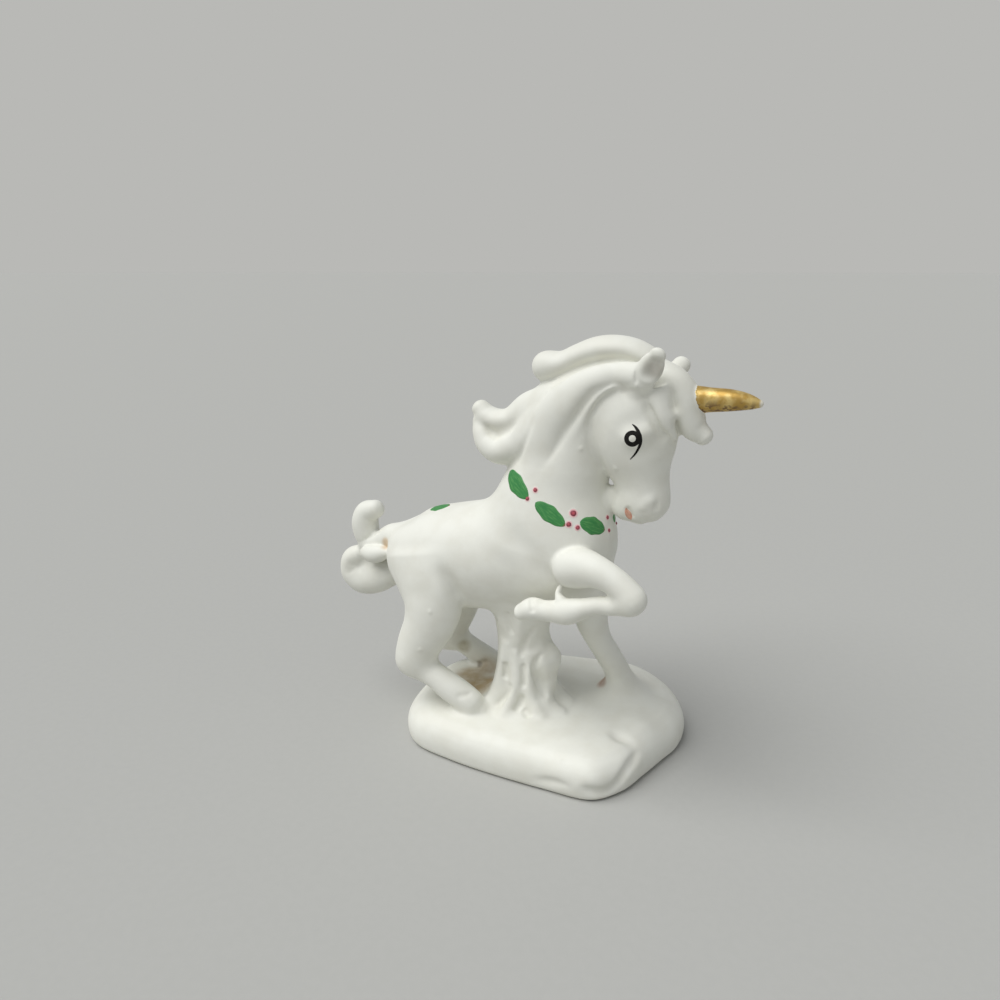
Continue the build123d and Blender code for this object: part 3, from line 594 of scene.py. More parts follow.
# %% Kneading the clay and reading its surface
def knead(lattice):
    """The clay of the whole figure on a lattice, with the distance to each casting that comes near."""
    clay = np.full(lattice.shape, reach_of_field, np.float32)
    alone = {}
    for name, lumps in castings.items():
        for lump in lumps:
            window = lattice.window(lump.low, lump.high)
            if window is None:
                continue
            distance = lump.distance(lattice, window)
            clay[window] = lute(clay[window], distance, lump.soft)
            if name not in alone:
                alone[name] = np.full(lattice.shape, reach_of_field, np.float32)
            alone[name][window] = np.minimum(alone[name][window], distance)
    return clay, alone


def outward(points, quads):
    """The quads of a closed mesh, turned round if they point inwards."""
    corners = points[quads[:, :3]]
    volume = np.einsum("ij,ij->i", corners[:, 0], np.cross(corners[:, 1], corners[:, 2])).sum()
    return quads if volume > 0 else quads[:, ::-1]


def read_surface(field, lattice):
    """Points in millimetres and outward quads of the surface where the field is zero."""
    grid = openvdb.FloatGrid(background=reach_of_field)
    grid.copyFromArray(field, ijk=[int(value) for value in lattice.low])
    points, quads = grid.convertToQuads(0.0)
    points = points * lattice.spacing
    return points, outward(points, quads)


# %% [markdown]
# ## Marks traced on a rough cast
# A rough cast of the whole figure is made first, on a coarse lattice. Rays from the camera
# meet it where the picture shows a crease or a painted leaf, and each mark keeps that
# place on the clay. The far side isn't in the picture, so it repeats the near side's marks.

# %% The rough cast
# Room that a lattice leaves round what it holds, in mm
clearance = 2
# Steps by which a ray that misses the clay slides to the place that it passes nearest
steps_to_graze = 8
whole = Lattice(np.array(cad_low) / mm - clearance, np.array(cad_high) / mm + clearance, rough)


def cast_roughly():
    """The whole figure on the coarse lattice, ready for rays."""
    points, quads = read_surface(knead(whole)[0], whole)
    return BVHTree.FromPolygons(points.tolist(), quads.tolist())


def touch(u, v):
    """Where the ray through a pixel meets or grazes the clay, and the way the clay faces there."""
    ray = sight(u, v)
    place, facing, _, _ = rough_cast.ray_cast(camera_place, ray)
    if place is None:
        place = camera_place + ray * camera_place.length
        for _ in range(steps_to_graze):
            near, facing, _, _ = rough_cast.find_nearest(place)
            place = camera_place + ray * (near - camera_place).dot(ray)
        place = near
    return place, facing


def mirrored(place):
    """The place on the far side's clay that is nearest to a place's mirror image, and its facing."""
    return rough_cast.find_nearest(Vector((place.x, -place.y, place.z)))[:2]


def trace(pixels, hand=-1):
    """Marks under a row of pixels, on the near side or, with hand 1, repeated on the far side."""
    marks = []
    for u, v in pixels:
        place, _ = touch(u, v)
        marks.append(tuple(mirrored(place)[0] if hand > 0 else place))
    return smooth_rows(marks) if len(marks) > 1 else np.array(marks)


rough_cast = cast_roughly()
print("points in the coarse lattice:", whole.shape)


# %% Bands of mane, laid on the rough cast
# Each row: pixel across, pixel down, width in pixels, thickness and how far it stands proud, in mm
sheet_rows = [
    (634, 374, 24, 4.0, 1.0), (615, 372.5, 25, 4.2, 1.5), (597, 378, 28, 4.4, 1.7),
    (580, 388, 33, 4.6, 1.6), (564, 402, 38, 4.6, 1.5), (551, 419, 38, 4.4, 1.3),
    (541, 438, 34, 4.2, 0.9), (533, 457, 28, 4.0, 0.3), (526, 474, 22, 3.6, -0.6),
]
strand_rows = [
    (640, 385, 8, 2.6, 0.6), (626, 386, 8, 2.8, 0.9), (612, 388.5, 8.5, 2.8, 1.0),
    (601, 394.5, 9.5, 2.8, 1.0), (592, 404, 11, 2.8, 0.9), (582, 419, 13, 2.8, 0.5),
    (571, 437, 14, 2.6, -0.2), (562, 452, 14, 2.4, -0.9),
]
forehead_rows = [
    (657, 388, 24, 3.6, 1.4), (661, 404, 25, 3.8, 2.2), (664, 419, 19, 3.6, 2.2),
    (669, 430, 12, 3.0, 1.8), (674, 438, 6, 2.6, 0.9),
]
# Roots that spread from the stump over the rock
root_tables = [
    [
        (506, 645, 12, 6, 0.3),
        (503, 668, 14, 6, 1.0),
        (497, 688, 14, 5.5, 1.4),
        (488, 703, 11, 4, 0.8),
        (482, 710, 6, 3, 0.1),
    ],
    [(516, 655, 10, 5, 0.2), (516, 680, 11, 5, 0.8), (511, 698, 10, 4.5, 1.0), (503, 713, 7, 3.5, 0.2)],
    [(531, 655, 11, 5, 0.3), (529, 680, 11, 5, 0.9), (533, 700, 10, 4.5, 1.0), (541, 714, 7, 3.5, 0.2)],
    [(546, 662, 14, 7, 0.6), (549, 678, 14, 7, 1.3), (557, 690, 13, 5.5, 1.3), (569, 700, 9, 4, 0.2)],
]


def laid_rings(rows, hand=-1):
    """A flat band that lies on the rough cast under a row of pixels, or on its far side with hand 1."""
    line = []
    for u, v, pixels, thickness, proud in rows:
        place, facing = touch(u, v)
        pixel = place_at(u, v, place.y)[1]
        if hand > 0:
            place, facing = mirrored(place)
        line.append((*(place + facing * (proud - thickness / 2)), pixels * pixel, thickness, *facing))
    line = smooth_rows(line)
    heading = unit(np.gradient(line[:, :3], axis=0))
    across = unit(np.cross(heading, line[:, 5:]))
    return ovals(line[:, :3], across, np.cross(across, heading), line[:, 3] / 2, line[:, 4] / 2)


for label, hand in (("right", -1), ("left", 1)):
    castings["mane_sheet_" + label] = [Lump(laid_rings(sheet_rows, hand), 1.2)]
    castings["mane_strand_" + label] = [Lump(laid_rings(strand_rows, hand), 0.8)]
    castings["forelock"].append(Lump(laid_rings(forehead_rows, hand), 0.9))
castings["tree_stump"] += [Lump(laid_rings(rows, hand), 2.5) for rows in root_tables for hand in (-1, 1)]
rough_cast = cast_roughly()
print("castings:", len(castings))

# %% Tools that press and raise the clay
strokes = []
dabs = []
# A tool's trace is cut off at this many radii, where next to nothing is left of it
reach_of_tool = 2.6
tiny = 1e-9


def stroke(pixels, radius, height, both_sides=False, run_in=0.25):
    """A soft line along the clay: a positive height raises a ridge, a negative one presses a groove.

    Run-in is the share of the line over which the tool sinks in, at each end.
    """
    for hand in (-1, 1) if both_sides else (-1,):
        strokes.append((trace(pixels, hand), radius, height, run_in))


def dab(pixel, radius, height, both_sides=False):
    """A soft round swelling or hollow at a pixel."""
    for hand in (-1, 1) if both_sides else (-1,):
        dabs.append((trace([pixel], hand)[0], radius, height))


# %% Working the clay
def measure(line, places):
    """The squared distance from each place to a line, and the share of the line where it is nearest."""
    squared, along = np.inf, 0
    for index, (start, end) in enumerate(zip(line, line[1:])):
        run = end - start
        offsets = [axis - value for axis, value in zip(places, start)]
        product = offsets[0] * run[0] + offsets[1] * run[1] + offsets[2] * run[2]
        share = np.clip(product / max(run @ run, tiny), 0, 1)
        gap = sum((offset - share * step) ** 2 for offset, step in zip(offsets, run))
        closer = gap < squared
        squared = np.where(closer, gap, squared)
        along = np.where(closer, (index + share) / (len(line) - 1), along)
    return squared, along


def work(clay, lattice):
    """Presses all strokes and dabs into the clay of a lattice."""
    for line, radius, height, run_in in strokes:
        margin = reach_of_tool * radius
        window = lattice.window(line.min(0) - margin, line.max(0) + margin)
        if window is not None:
            squared, along = measure(line, lattice.places(window))
            taper = np.sin(np.clip(np.minimum(along, 1 - along) / run_in, 0, 1) * math.pi / 2) ** 2
            clay[window] -= (height * taper * np.exp(-squared / radius**2)).astype(np.float32)
    for place, radius, height in dabs:
        margin = reach_of_tool * radius
        window = lattice.window(place - margin, place + margin)
        if window is not None:
            squared = sum((axis - value) ** 2 for axis, value in zip(lattice.places(window), place))
            clay[window] -= (height * np.exp(-squared / radius**2)).astype(np.float32)


# %% Creases of the mane and the tail
crest_crease = [(635.7, 360), (620, 359.5), (604, 361), (581.5, 367.6), (565.5, 376.6), (549, 388)]
sheet_crease = [
    (613, 383.6), (594, 391), (584.6, 401.4), (575, 416), (565.5, 429.5), (556, 447.6), (543, 470),
]
cheek_crease = [
    (628, 388), (615, 390.5), (601, 401), (592, 416), (589, 433), (590.5, 447), (597.5, 463.5), (605, 475),
]
lock_groove = [(518, 418), (512, 427), (503, 434.5), (495, 436), (489, 429), (487, 421)]
lock_border = [(535, 412), (529, 431.5), (520.5, 454), (514.5, 463)]
scoop_groove = [(363, 558), (359.5, 566), (360, 574)]
curl_seam = [(358.6, 543.6), (371, 536), (383, 528)]
for line in (crest_crease, sheet_crease, cheek_crease):
    stroke(line, 0.65, -0.65, both_sides=True)
    stroke(line, 1.6, -0.35, both_sides=True)
stroke(lock_groove, 1.0, -0.6)
stroke(lock_border, 0.9, -0.35)
stroke(scoop_groove, 0.9, -0.35, run_in=0.5)
stroke(curl_seam, 0.6, -0.35)

# %% Creases of the forelock and hollow of the ear
forelock_back = [(644.2, 400), (649.8, 413), (655.4, 424.2), (663.8, 436.8), (670.8, 439)]
forelock_middle = [(674, 384), (672.2, 398.9), (673, 413), (674.4, 427), (676.5, 436)]
forelock_gap = (674, 415.2)
ear_hollow = [(659, 357), (656, 365), (650.5, 374), (646, 383)]
stroke(forelock_back, 0.75, -0.95, both_sides=True)
stroke(forelock_back, 1.8, -0.4, both_sides=True)
stroke(forelock_middle, 0.9, -0.35, both_sides=True)
stroke(ear_hollow, 1.5, -1.35, both_sides=True)
dab(forelock_gap, 1.3, 0.8, both_sides=True)

# %% The face
socket = (632.3, 438.6)
brow = (647.5, 432)
nostril_ridge = [(643, 513), (644, 506), (649, 501.5), (659, 500)]
nostril_hollow = [(652, 508), (660, 506)]
lips = [(625.5, 507), (629, 512), (632.5, 519)]
jaw_edge = [(588.5, 418), (590, 433), (592.5, 447), (598.5, 463), (605.5, 476)]
dab(socket, 4.2, -1.8, both_sides=True)
dab(socket, 2.8, 2.5, both_sides=True)
dab(brow, 2.2, 1.0, both_sides=True)
stroke(nostril_ridge, 1.3, 0.4, both_sides=True)
stroke(nostril_hollow, 1.3, -0.35, both_sides=True)
stroke(lips, 0.8, -0.7, both_sides=True)
stroke(jaw_edge, 0.9, -0.6, both_sides=True)

# %% Folds where the legs join the body
stifle_fold = [(433, 560), (441, 571), (449, 582), (456, 593), (461, 603), (464, 614)]
shoulder_fold = [(511, 512), (512, 528), (518, 543), (530, 558), (545, 571), (560, 582)]
hoof_crease = [(455, 697), (466, 695), (478, 690)]
far_hoof_crease = [(466, 665), (479, 664), (490, 661)]
raised_hoof_crease = [(531.5, 598), (532, 606), (533, 614)]
gaskin = (444, 592)
rump_hollow = (410, 516)
croup_hollow = (423, 509)
stroke(stifle_fold, 2.2, -1.4, run_in=0.5)
stroke(stifle_fold[2:], 1.0, -0.5, run_in=0.5)
dab(gaskin, 4.0, 0.5)
dab(rump_hollow, 4.5, -1.5)
dab(croup_hollow, 4.0, -0.6)
stroke(shoulder_fold, 3.4, -1.2, run_in=0.5)
stroke(hoof_crease, 0.8, -0.4)
stroke(raised_hoof_crease, 0.7, -0.5)
stroke(far_hoof_crease, 0.7, -0.8)

# %% Bark of the stump: folds pressed in, with roots raised between them
bark = [
    [(507, 610.7), (508.7, 623.3), (512.7, 635.9)],
    [(536.3, 626), (528.2, 635.9), (522.5, 649.7), (521.3, 658.9)],
    [(546, 649.7), (537.4, 658.9), (533.4, 670.4), (537.4, 681.8), (544.3, 693.3), (547.7, 700)],
    [(511, 680.7), (509.3, 691), (503, 700.2), (496, 708.2)],
    [(522.5, 693.3), (520.2, 703.6), (514.4, 712.8)],
    [(522.5, 708.2), (527, 714), (529.4, 717.4)],
    [(504.7, 660), (506, 670), (504.7, 680)],
    [(523.5, 662), (524, 676), (523.6, 690)],
]
roots = [
    [(503, 640), (502, 664), (498, 690), (489, 704)],
    [(515, 655), (516, 680), (511, 698), (503, 714)],
    [(530, 660), (528, 682), (533, 702), (542, 716)],
    [(545, 632), (541, 645), (544, 668), (556, 690), (570, 702)],
    [(524, 612), (519, 630), (515, 650)],
]
bark_hole = (496.3, 620)
for line in bark:
    stroke(line, 0.8, -1.0, both_sides=True)
for line in roots:
    stroke(line, 1.7, 0.5, both_sides=True)
dab(bark_hole, 0.45, -0.9)

# %% Creases of the rock
rock_top_crease = [(608.4, 729.9), (620.2, 737), (639, 746)]
rock_lip = [(639, 747), (635, 758), (627, 770), (615.5, 785), (603.7, 791.5), (589.6, 790), (577.8, 783)]
rock_front_crease = [(526, 778), (540, 780), (554.2, 781.8), (566, 785), (578, 790)]
# Each swelling: pixel, radius and height in mm
rock_swellings = [
    ((641, 724), 4.0, 1.0),
    ((654, 708), 6.0, 1.0),
    ((590, 776), 4.5, 0.6),
    ((560, 772), 4.0, 0.4),
]
stroke(rock_top_crease, 1.6, -1.6, run_in=0.5)
stroke(rock_lip, 1.2, -1.3)
stroke(rock_front_crease, 1.1, -0.6, run_in=0.5)
for swelling in rock_swellings:
    dab(*swelling)

# %% Crumbs of slip left on the surface
crumbs = [(615.4, 468.4), (581, 448.7), (430, 612), (420, 650), (560, 760), (604, 470)]
crumb_radius = 0.5
crumb_height = 0.3
for pixel in crumbs:
    dab(pixel, crumb_radius, crumb_height)
print("strokes:", len(strokes), "dabs:", len(dabs))

# %% [markdown]
# ## Reading each casting
# Every casting becomes a closed mesh of its own. It is the worked clay, cut half way
# towards its nearest neighbours with a small overlap. The later casting lies a hair
# deeper there, so the seam between the two doesn't show, as on the smoothed original.

# %% Closed meshes
overlap = 0.6
hair = 0.02
gilding_film = 0.08
hollow_base = Lump(base_rings(wall, hollow_layers), 0)
skins = {}


def sample(field, lattice, points):
    """The field's values at points, from the eight lattice points round each."""
    place = points / lattice.spacing - lattice.low
    corner = np.clip(np.floor(place).astype(int), 0, np.array(lattice.shape) - 2)
    share = place - corner
    total = 0
    for dx, dy, dz in np.ndindex(2, 2, 2):
        weight = np.abs(1 - dx - share[:, 0]) * np.abs(1 - dy - share[:, 1]) * np.abs(1 - dz - share[:, 2])
        total = total + weight * field[corner[:, 0] + dx, corner[:, 1] + dy, corner[:, 2] + dz]
    return total


def smooth_normals(field, lattice, points):
    """Unit directions in which the field grows fastest."""
    step = lattice.spacing
    slopes = [
        sample(field, lattice, points + offset) - sample(field, lattice, points - offset)
        for offset in np.eye(3) * step
    ]
    normals = np.stack(slopes, 1)
    return normals / np.maximum(np.linalg.norm(normals, axis=1), tiny)[:, None]


# %% Meshes from points and quads
def make_mesh(name, points, quads, normals=None):
    """A Blender object in metres, at the origin, from points in millimetres."""
    mesh = bpy.data.meshes.new(name)
    mesh.vertices.add(len(points))
    mesh.vertices.foreach_set("co", (points * mm).astype(np.float32).ravel())
    mesh.loops.add(quads.size)
    mesh.loops.foreach_set("vertex_index", quads.astype(np.int32).ravel())
    mesh.polygons.add(len(quads))
    mesh.polygons.foreach_set("loop_start", np.arange(0, quads.size, quads.shape[1], dtype=np.int32))
    mesh.polygons.foreach_set("use_smooth", np.ones(len(quads), bool))
    mesh.update(calc_edges=True)
    mesh.validate()
    if normals is not None:
        mesh.normals_split_custom_set_from_vertices(normals)
    return stand(name, mesh)


# %% Reading the castings
def read_casting(name):
    """The closed mesh of one casting."""
    low = np.min([lump.low for lump in castings[name]], axis=0) + reach_of_field - clearance
    high = np.max([lump.high for lump in castings[name]], axis=0) - reach_of_field + clearance
    lattice = Lattice(low, high, fine_for_rock if name == "base" else fine)
    clay, alone = knead(lattice)
    work(clay, lattice)
    clay += hair * list(castings).index(name) / len(castings) - (gilding_film if name == "horn" else 0)
    # The border is half way to the nearest neighbour, and the horn's paint ends just on it
    own = alone.pop(name)
    others = np.minimum.reduce(list(alone.values()))
    border = (own - others) / 2 - (0 if name == "horn" else overlap)
    if name == "base":
        # The base is cut flat underneath and hollow, and its hollow opens at the drain hole
        everything = tuple(slice(0, size) for size in lattice.shape)
        x, y, z = lattice.places(everything)
        drain = np.maximum(np.hypot(x + drain_setback, y) - drain_radius, z - base_height / 2)
        hollow = np.minimum(hollow_base.distance(lattice, everything), drain)
        border = np.maximum(np.maximum(border, -hollow), -z)
    field = np.maximum(clay, border).astype(np.float32)
    points, quads = read_surface(field, lattice)
    # The outer skin is shaded as the whole clay, so that light runs on over the seams
    outer = sample(clay, lattice, points) > sample(border.astype(np.float32), lattice, points) - hair
    normals = np.where(
        outer[:, None], smooth_normals(clay, lattice, points), smooth_normals(field, lattice, points)
    )
    skins[name] = points, quads
    return make_mesh(name + "_bisque", points, quads, normals)


pieces = {name: read_casting(name) for name in castings}
for name, piece in pieces.items():
    print(name, len(piece.data.polygons), "quads")

# %% [markdown]
# ## Finishes
# The whole figure is one material, bisque: porcelain fired once and left without a glaze.
# It is dense and off-white, with a matte skin that gives a wide, weak highlight. The
# colours on it are ceramic paints, brushed on cold and matte, and the horn is gilded.
# One helper adds every node. Most finishes are one colour that comes in softly over
# another where a value climbs, with a fine tooth on the surface.

# %% Colours and the node helper
def linear(hex_colour):
    """An sRGB hex colour as linear light, with alpha 1."""
    parts = [int(hex_colour[k : k + 2], 16) / 255 for k in (1, 3, 5)]
    return [part / 12.92 if part <= 0.04045 else ((part + 0.055) / 1.055) ** 2.4 for part in parts] + [1]


def add(tree, kind, inputs=(), **settings):
    """Adds a node with its settings, whose inputs take values or other nodes' outputs. Gives its outputs."""
    node = tree.nodes.new(kind)
    for key, value in settings.items():
        setattr(node, key, value)
    for key, value in dict(inputs).items():
        if isinstance(value, bpy.types.NodeSocket):
            tree.links.new(value, node.inputs[key])
        else:
            node.inputs[key].default_value = value
    return node.outputs


def new_material(name, roughness, ior=1.5):
    """A material, its tree, the inputs of its shader and the Object coordinates for its patterns."""
    material = bpy.data.materials.new(name)
    material.use_nodes = True
    tree = material.node_tree
    shader = tree.nodes["Principled BSDF"].inputs
    shader["Roughness"].default_value = roughness
    shader["IOR"].default_value = ior
    return material, tree, shader, add(tree, "ShaderNodeTexCoord")["Object"]


# %% Patterns that the finishes share
noise_detail = 3.0
# A change without a corner at either end
smoothly = {"interpolation_type": "SMOOTHSTEP"}


def cloudy(coordinates, grain):
    """Settings of a noise whose patches are about one grain wide, in millimetres."""
    return {"Vector": coordinates, "Scale": 1 / (grain * mm), "Detail": noise_detail}


def climb(value, low, high, at_low=0.0, at_high=1.0):
    """Settings of a change from one number to another while a value goes from low to high."""
    return {"Value": value, "From Min": low, "From Max": high, "To Min": at_low, "To Max": at_high}


def tint(tree, value, low, high, under, over, full=1.0):
    """A colour that comes in over another, up to a full share, while a value goes from low to high."""
    share = add(tree, "ShaderNodeMapRange", climb(value, low, high, 0.0, full), **smoothly)
    return add(tree, "ShaderNodeMix", {0: share[0], 6: under, 7: over}, data_type="RGBA")[2]


def roughen(tree, shader, coordinates, grain, depth, strength):
    """A noise pressed into a surface, with its grain and its depth in millimetres."""
    noise = add(tree, "ShaderNodeTexNoise", cloudy(coordinates, grain))[0]
    bump = add(tree, "ShaderNodeBump", {"Height": noise, "Distance": depth * mm, "Strength": strength})
    tree.links.new(bump["Normal"], shader["Normal"])


# %% Bisque porcelain, slip cast and fired without a glaze
# It gives the eye a soft, chalky off-white with a fine tooth, and stains stay in its pores. Some marks on it
# are painted shade: grey-brown in the ear's hollow, a dark slit in the far hoof's crease and the dark bark
# hole. The tan between the hind legs and the stump is partly a real stain and partly painted shade.
bisque_white = "#E9E9E0"
bisque_shade = "#DAD8CB"
tooth = 0.7
unevenness = 6.0
stain_and_shade_patches = 3.0
# Share of a mark's radius over which it keeps its full strength, for stains and painted shade alike
stain_and_shade_core = 0.3
# Each stain and each patch of painted shade: pixel across and down, radius in mm, colour, strength
stains_and_painted_shade = [
    # Tan and olive between the hind legs and the stump: partly a real stain, partly painted shade in that
    # recess
    ((482, 684), 8.5, "#AD9468", 0.9),
    ((470, 674), 6.0, "#AD9770", 0.8),
    ((464, 646), 3.0, "#9A8F68", 0.7),
    ((488, 667), 4.5, "#A88F66", 0.7),
    # Painted shade: a dark slit in the crease where the far hind leg meets its hoof
    ((479, 664), 1.4, "#66553A", 0.8),
    ((603, 681), 3.0, "#B4937F", 0.9),
    ((386, 543.5), 2.4, "#C7A067", 0.7),
    # Painted shade: grey-brown in the hollow of the ear
    ((653, 370), 3.6, "#A39C90", 0.6),
    # Painted shade: near black in the pressed bark hole
    (bark_hole, 0.5, "#3A352C", 1.0),
]


def bisque_colour(tree, coordinates):
    """The colour of the bisque with its cloudiness, its stains and its painted shade."""
    cloud = add(tree, "ShaderNodeTexNoise", cloudy(coordinates, unevenness))[0]
    colour = tint(tree, cloud, 0.35, 0.7, linear(bisque_white), linear(bisque_shade), full=0.35)
    blotch = add(tree, "ShaderNodeTexNoise", cloudy(coordinates, stain_and_shade_patches))[0]
    blotch = add(tree, "ShaderNodeMapRange", climb(blotch, 0.3, 0.65, 0.65, 1.0), **smoothly)[0]
    for pixel, radius, stain_and_shade_colour, strength in stains_and_painted_shade:
        places = {0: coordinates, 1: touch(*pixel)[0] * mm}
        gap = add(tree, "ShaderNodeVectorMath", places, operation="DISTANCE")["Value"]
        edge = climb(gap, radius * mm * stain_and_shade_core, radius * mm, strength, 0.0)
        share = add(tree, "ShaderNodeMapRange", edge, **smoothly)[0]
        share = add(tree, "ShaderNodeMath", {0: share, 1: blotch}, operation="MULTIPLY")[0]
        colour = add(tree, "ShaderNodeMix", {0: share, 6: colour, 7: linear(stain_and_shade_colour)}, data_type="RGBA")[2]
    return colour


bisque, tree, shader, coordinates = new_material("matte_bisque_porcelain", roughness=0.6)
tree.links.new(bisque_colour(tree, coordinates), shader["Base Color"])
roughen(tree, shader, coordinates, tooth, depth=0.03, strength=0.5)
print("stains:", len(stains_and_painted_shade))

# %% Gilding on the horn, with a painted sheen
# Cold gold paint on bisque: a satin metal film. Its lighter gold patches are a painted sheen, and its lower
# side is brown in mottles, where it is less metallic.
gold = "#B4924A"
gold_painted_sheen = "#DCC27E"
lower_side_brown = "#6B4A22"
metal_share = 0.6
brown_mottle_grain = 1.1
painted_sheen_grain = 2.2
film_grain = 0.8
horn_ends = ((694, 400), (763, 405))
# The paint thins out between these distances from the tip
thin_from = 0.9
thin_to = 0.2
# The brown side is below the horn's middle, and ends between these heights under and over it
brown_below = 1.6
brown_above = 1.4
horn_root, horn_tip = [Vector(place_at(u, v, 0)[0]) for u, v in horn_ends]
horn_run = horn_tip - horn_root
heading = horn_run.normalized()
tip_at = horn_root.dot(heading) * mm + horn_run.length * mm

gilding, tree, shader, coordinates = new_material("cold_gold_paint_on_bisque", roughness=0.42)
along_horn = add(tree, "ShaderNodeVectorMath", {0: coordinates, 1: heading}, operation="DOT_PRODUCT")["Value"]
thinning = climb(along_horn, tip_at - thin_from * mm, tip_at - thin_to * mm, 1.0, 0.2)
painted = add(tree, "ShaderNodeMapRange", thinning, **smoothly)[0]
height = add(tree, "ShaderNodeSeparateXYZ", {0: coordinates})["Z"]
# Brown in mottles on the horn's lower side, below its middle
side = climb(height, (horn_root.z - brown_below) * mm, (horn_root.z + brown_above) * mm, 1.0, 0.1)
underside = add(tree, "ShaderNodeMapRange", side, **smoothly)[0]
brown_mottle = add(tree, "ShaderNodeTexNoise", cloudy(coordinates, brown_mottle_grain))[0]
brown_mottle = add(tree, "ShaderNodeMapRange", climb(brown_mottle, 0.42, 0.6), **smoothly)[0]
brown_mottles_below = add(tree, "ShaderNodeMath", {0: brown_mottle, 1: underside}, operation="MULTIPLY")[0]
# Painted sheen: lighter gold in patches over the gold
painted_sheen_patches = add(tree, "ShaderNodeTexNoise", cloudy(coordinates, painted_sheen_grain))[0]
gold_and_painted_sheen = tint(tree, painted_sheen_patches, 0.4, 0.65, linear(gold), linear(gold_painted_sheen))
gold_sheen_and_lower_brown = add(tree, "ShaderNodeMix", {0: brown_mottles_below, 6: gold_and_painted_sheen, 7: linear(lower_side_brown)}, data_type="RGBA")[2]
under = bisque_colour(tree, coordinates)
horn_colour = add(tree, "ShaderNodeMix", {0: painted, 6: under, 7: gold_sheen_and_lower_brown}, data_type="RGBA")[2]
tree.links.new(horn_colour, shader["Base Color"])
whole_film = add(tree, "ShaderNodeMath", {0: 1.0, 1: brown_mottles_below}, operation="SUBTRACT")[0]
film = add(tree, "ShaderNodeMath", {0: painted, 1: whole_film}, operation="MULTIPLY")[0]
film = add(tree, "ShaderNodeMath", {0: film, 1: metal_share}, operation="MULTIPLY")[0]
tree.links.new(film, shader["Metallic"])
roughen(tree, shader, coordinates, film_grain, depth=0.06, strength=0.6)

for name, piece in pieces.items():
    piece.data.materials.append(gilding if name == "horn" else bisque)
print("materials:", [material.name for material in bpy.data.materials])

# %% [markdown]
# ## The painted garland
# Holly leaves and berries are painted round the neck, and one leaf on the rump. All leaves
# are the same mark of a flat brush, and all berries the same dot of a round one, so
# Geometry Nodes repeat them.
# A flat sheet of paint is put at every mark, turned to the way the clay faces, and then
# every point of it drops along that direction onto the skin. Each sheet is two layers
# with a closed rim, one sunk under the skin, so that a mark is a real film of paint.

# %% Flat sheets of paint
# Depth of a film's lower layer under the skin
sunk = 0.06


def film_faces(rows, columns, wrapped, end_walls=(True, True)):
    """Quads of two layers over a grid, closed round its rim."""
    index = np.arange(rows * columns).reshape(rows, columns)
    if wrapped:
        index = np.hstack([index, index[:, :1]])
    top = np.stack([index[:-1, :-1], index[:-1, 1:], index[1:, 1:], index[1:, :-1]], -1).reshape(-1, 4)
    rims = [index[0]] * end_walls[0] + [index[-1][::-1]] * end_walls[1]
    if not wrapped:
        rims += [index[:, 0][::-1], index[:, -1]]
    below = rows * columns
    walls = [np.stack([rim[1:], rim[:-1], rim[:-1] + below, rim[1:] + below], -1) for rim in rims]
    return np.vstack([top, top[:, ::-1] + below, *walls])


def paint_sheet(name, along, across, places, crown, end_walls, wrapped=False):
    """A flat sheet of paint, one unit long, whose grid holds the height of each point over the skin."""
    mesh = bpy.data.meshes.new(name)
    flat = [(x, y, 0) for x, y in places.reshape(-1, 2)]
    mesh.from_pydata(flat * 2, [], film_faces(*along.shape, wrapped, end_walls).tolist())
    layers = {
        "along": np.tile(along.ravel(), 2),
        "across": np.tile(across.ravel(), 2),
        "crown": np.concatenate([crown.ravel(), np.full(len(flat), -sunk)]) * mm,
    }
    for key, values in layers.items():
        mesh.attributes.new(key, "FLOAT", "POINT").data.foreach_set("value", values.astype(np.float32))
    return stand(name, mesh)


leaf_film = 0.13
leaf_rows = 33
leaf_columns = 17
# A leaf's half width is a blunted sine, fuller towards its base. Its edge waves through the
# radians of the sweep, from the base to the tip
leaf_fullness = 0.92
leaf_bluntness = 0.62
edge_sweep = 17
edge_wave_depth = 0.05
leaf_along, leaf_across = np.meshgrid(
    np.linspace(0, 1, leaf_rows), np.linspace(-1, 1, leaf_columns), indexing="ij"
)
leaf_half = 0.5 * np.sin(math.pi * leaf_along**leaf_fullness) ** leaf_bluntness
leaf_half *= 1 + edge_wave_depth * np.sin(leaf_along * edge_sweep)
leaf_half[[0, -1]] = 0
leaf_places = np.stack([leaf_along - 0.5, leaf_half * leaf_across], -1)
leaf_crown = leaf_film * (1 - leaf_across**6) * np.clip(12 * leaf_along * (1 - leaf_along), 0, 1)
leaf_sheet = paint_sheet("leaf_sheet", leaf_along, leaf_across, leaf_places, leaf_crown, (False, False))

# A berry is a raised dot in the middle of a thin halo that the brush left round it
berry_film = 0.28
halo_film = 0.03
berry_edge = 0.58
berry_circles = 13
berry_sides = 32
berry_along, berry_turns = np.meshgrid(
    np.linspace(0, 1, berry_circles), np.arange(berry_sides) * 2 * math.pi / berry_sides, indexing="ij"
)
berry_places = np.stack([berry_along * np.cos(berry_turns), berry_along * np.sin(berry_turns)], -1) / 2
berry_crown = halo_film * (1 - berry_along**4)
berry_crown += berry_film * np.clip(1 - (berry_along / berry_edge) ** 2, 0, 1) ** 0.6
berry_sheet = paint_sheet(
    "berry_sheet", berry_along, berry_turns, berry_places, berry_crown, (False, True), wrapped=True
)
print("points in a leaf:", len(leaf_sheet.data.vertices), "and in a berry:", len(berry_sheet.data.vertices))

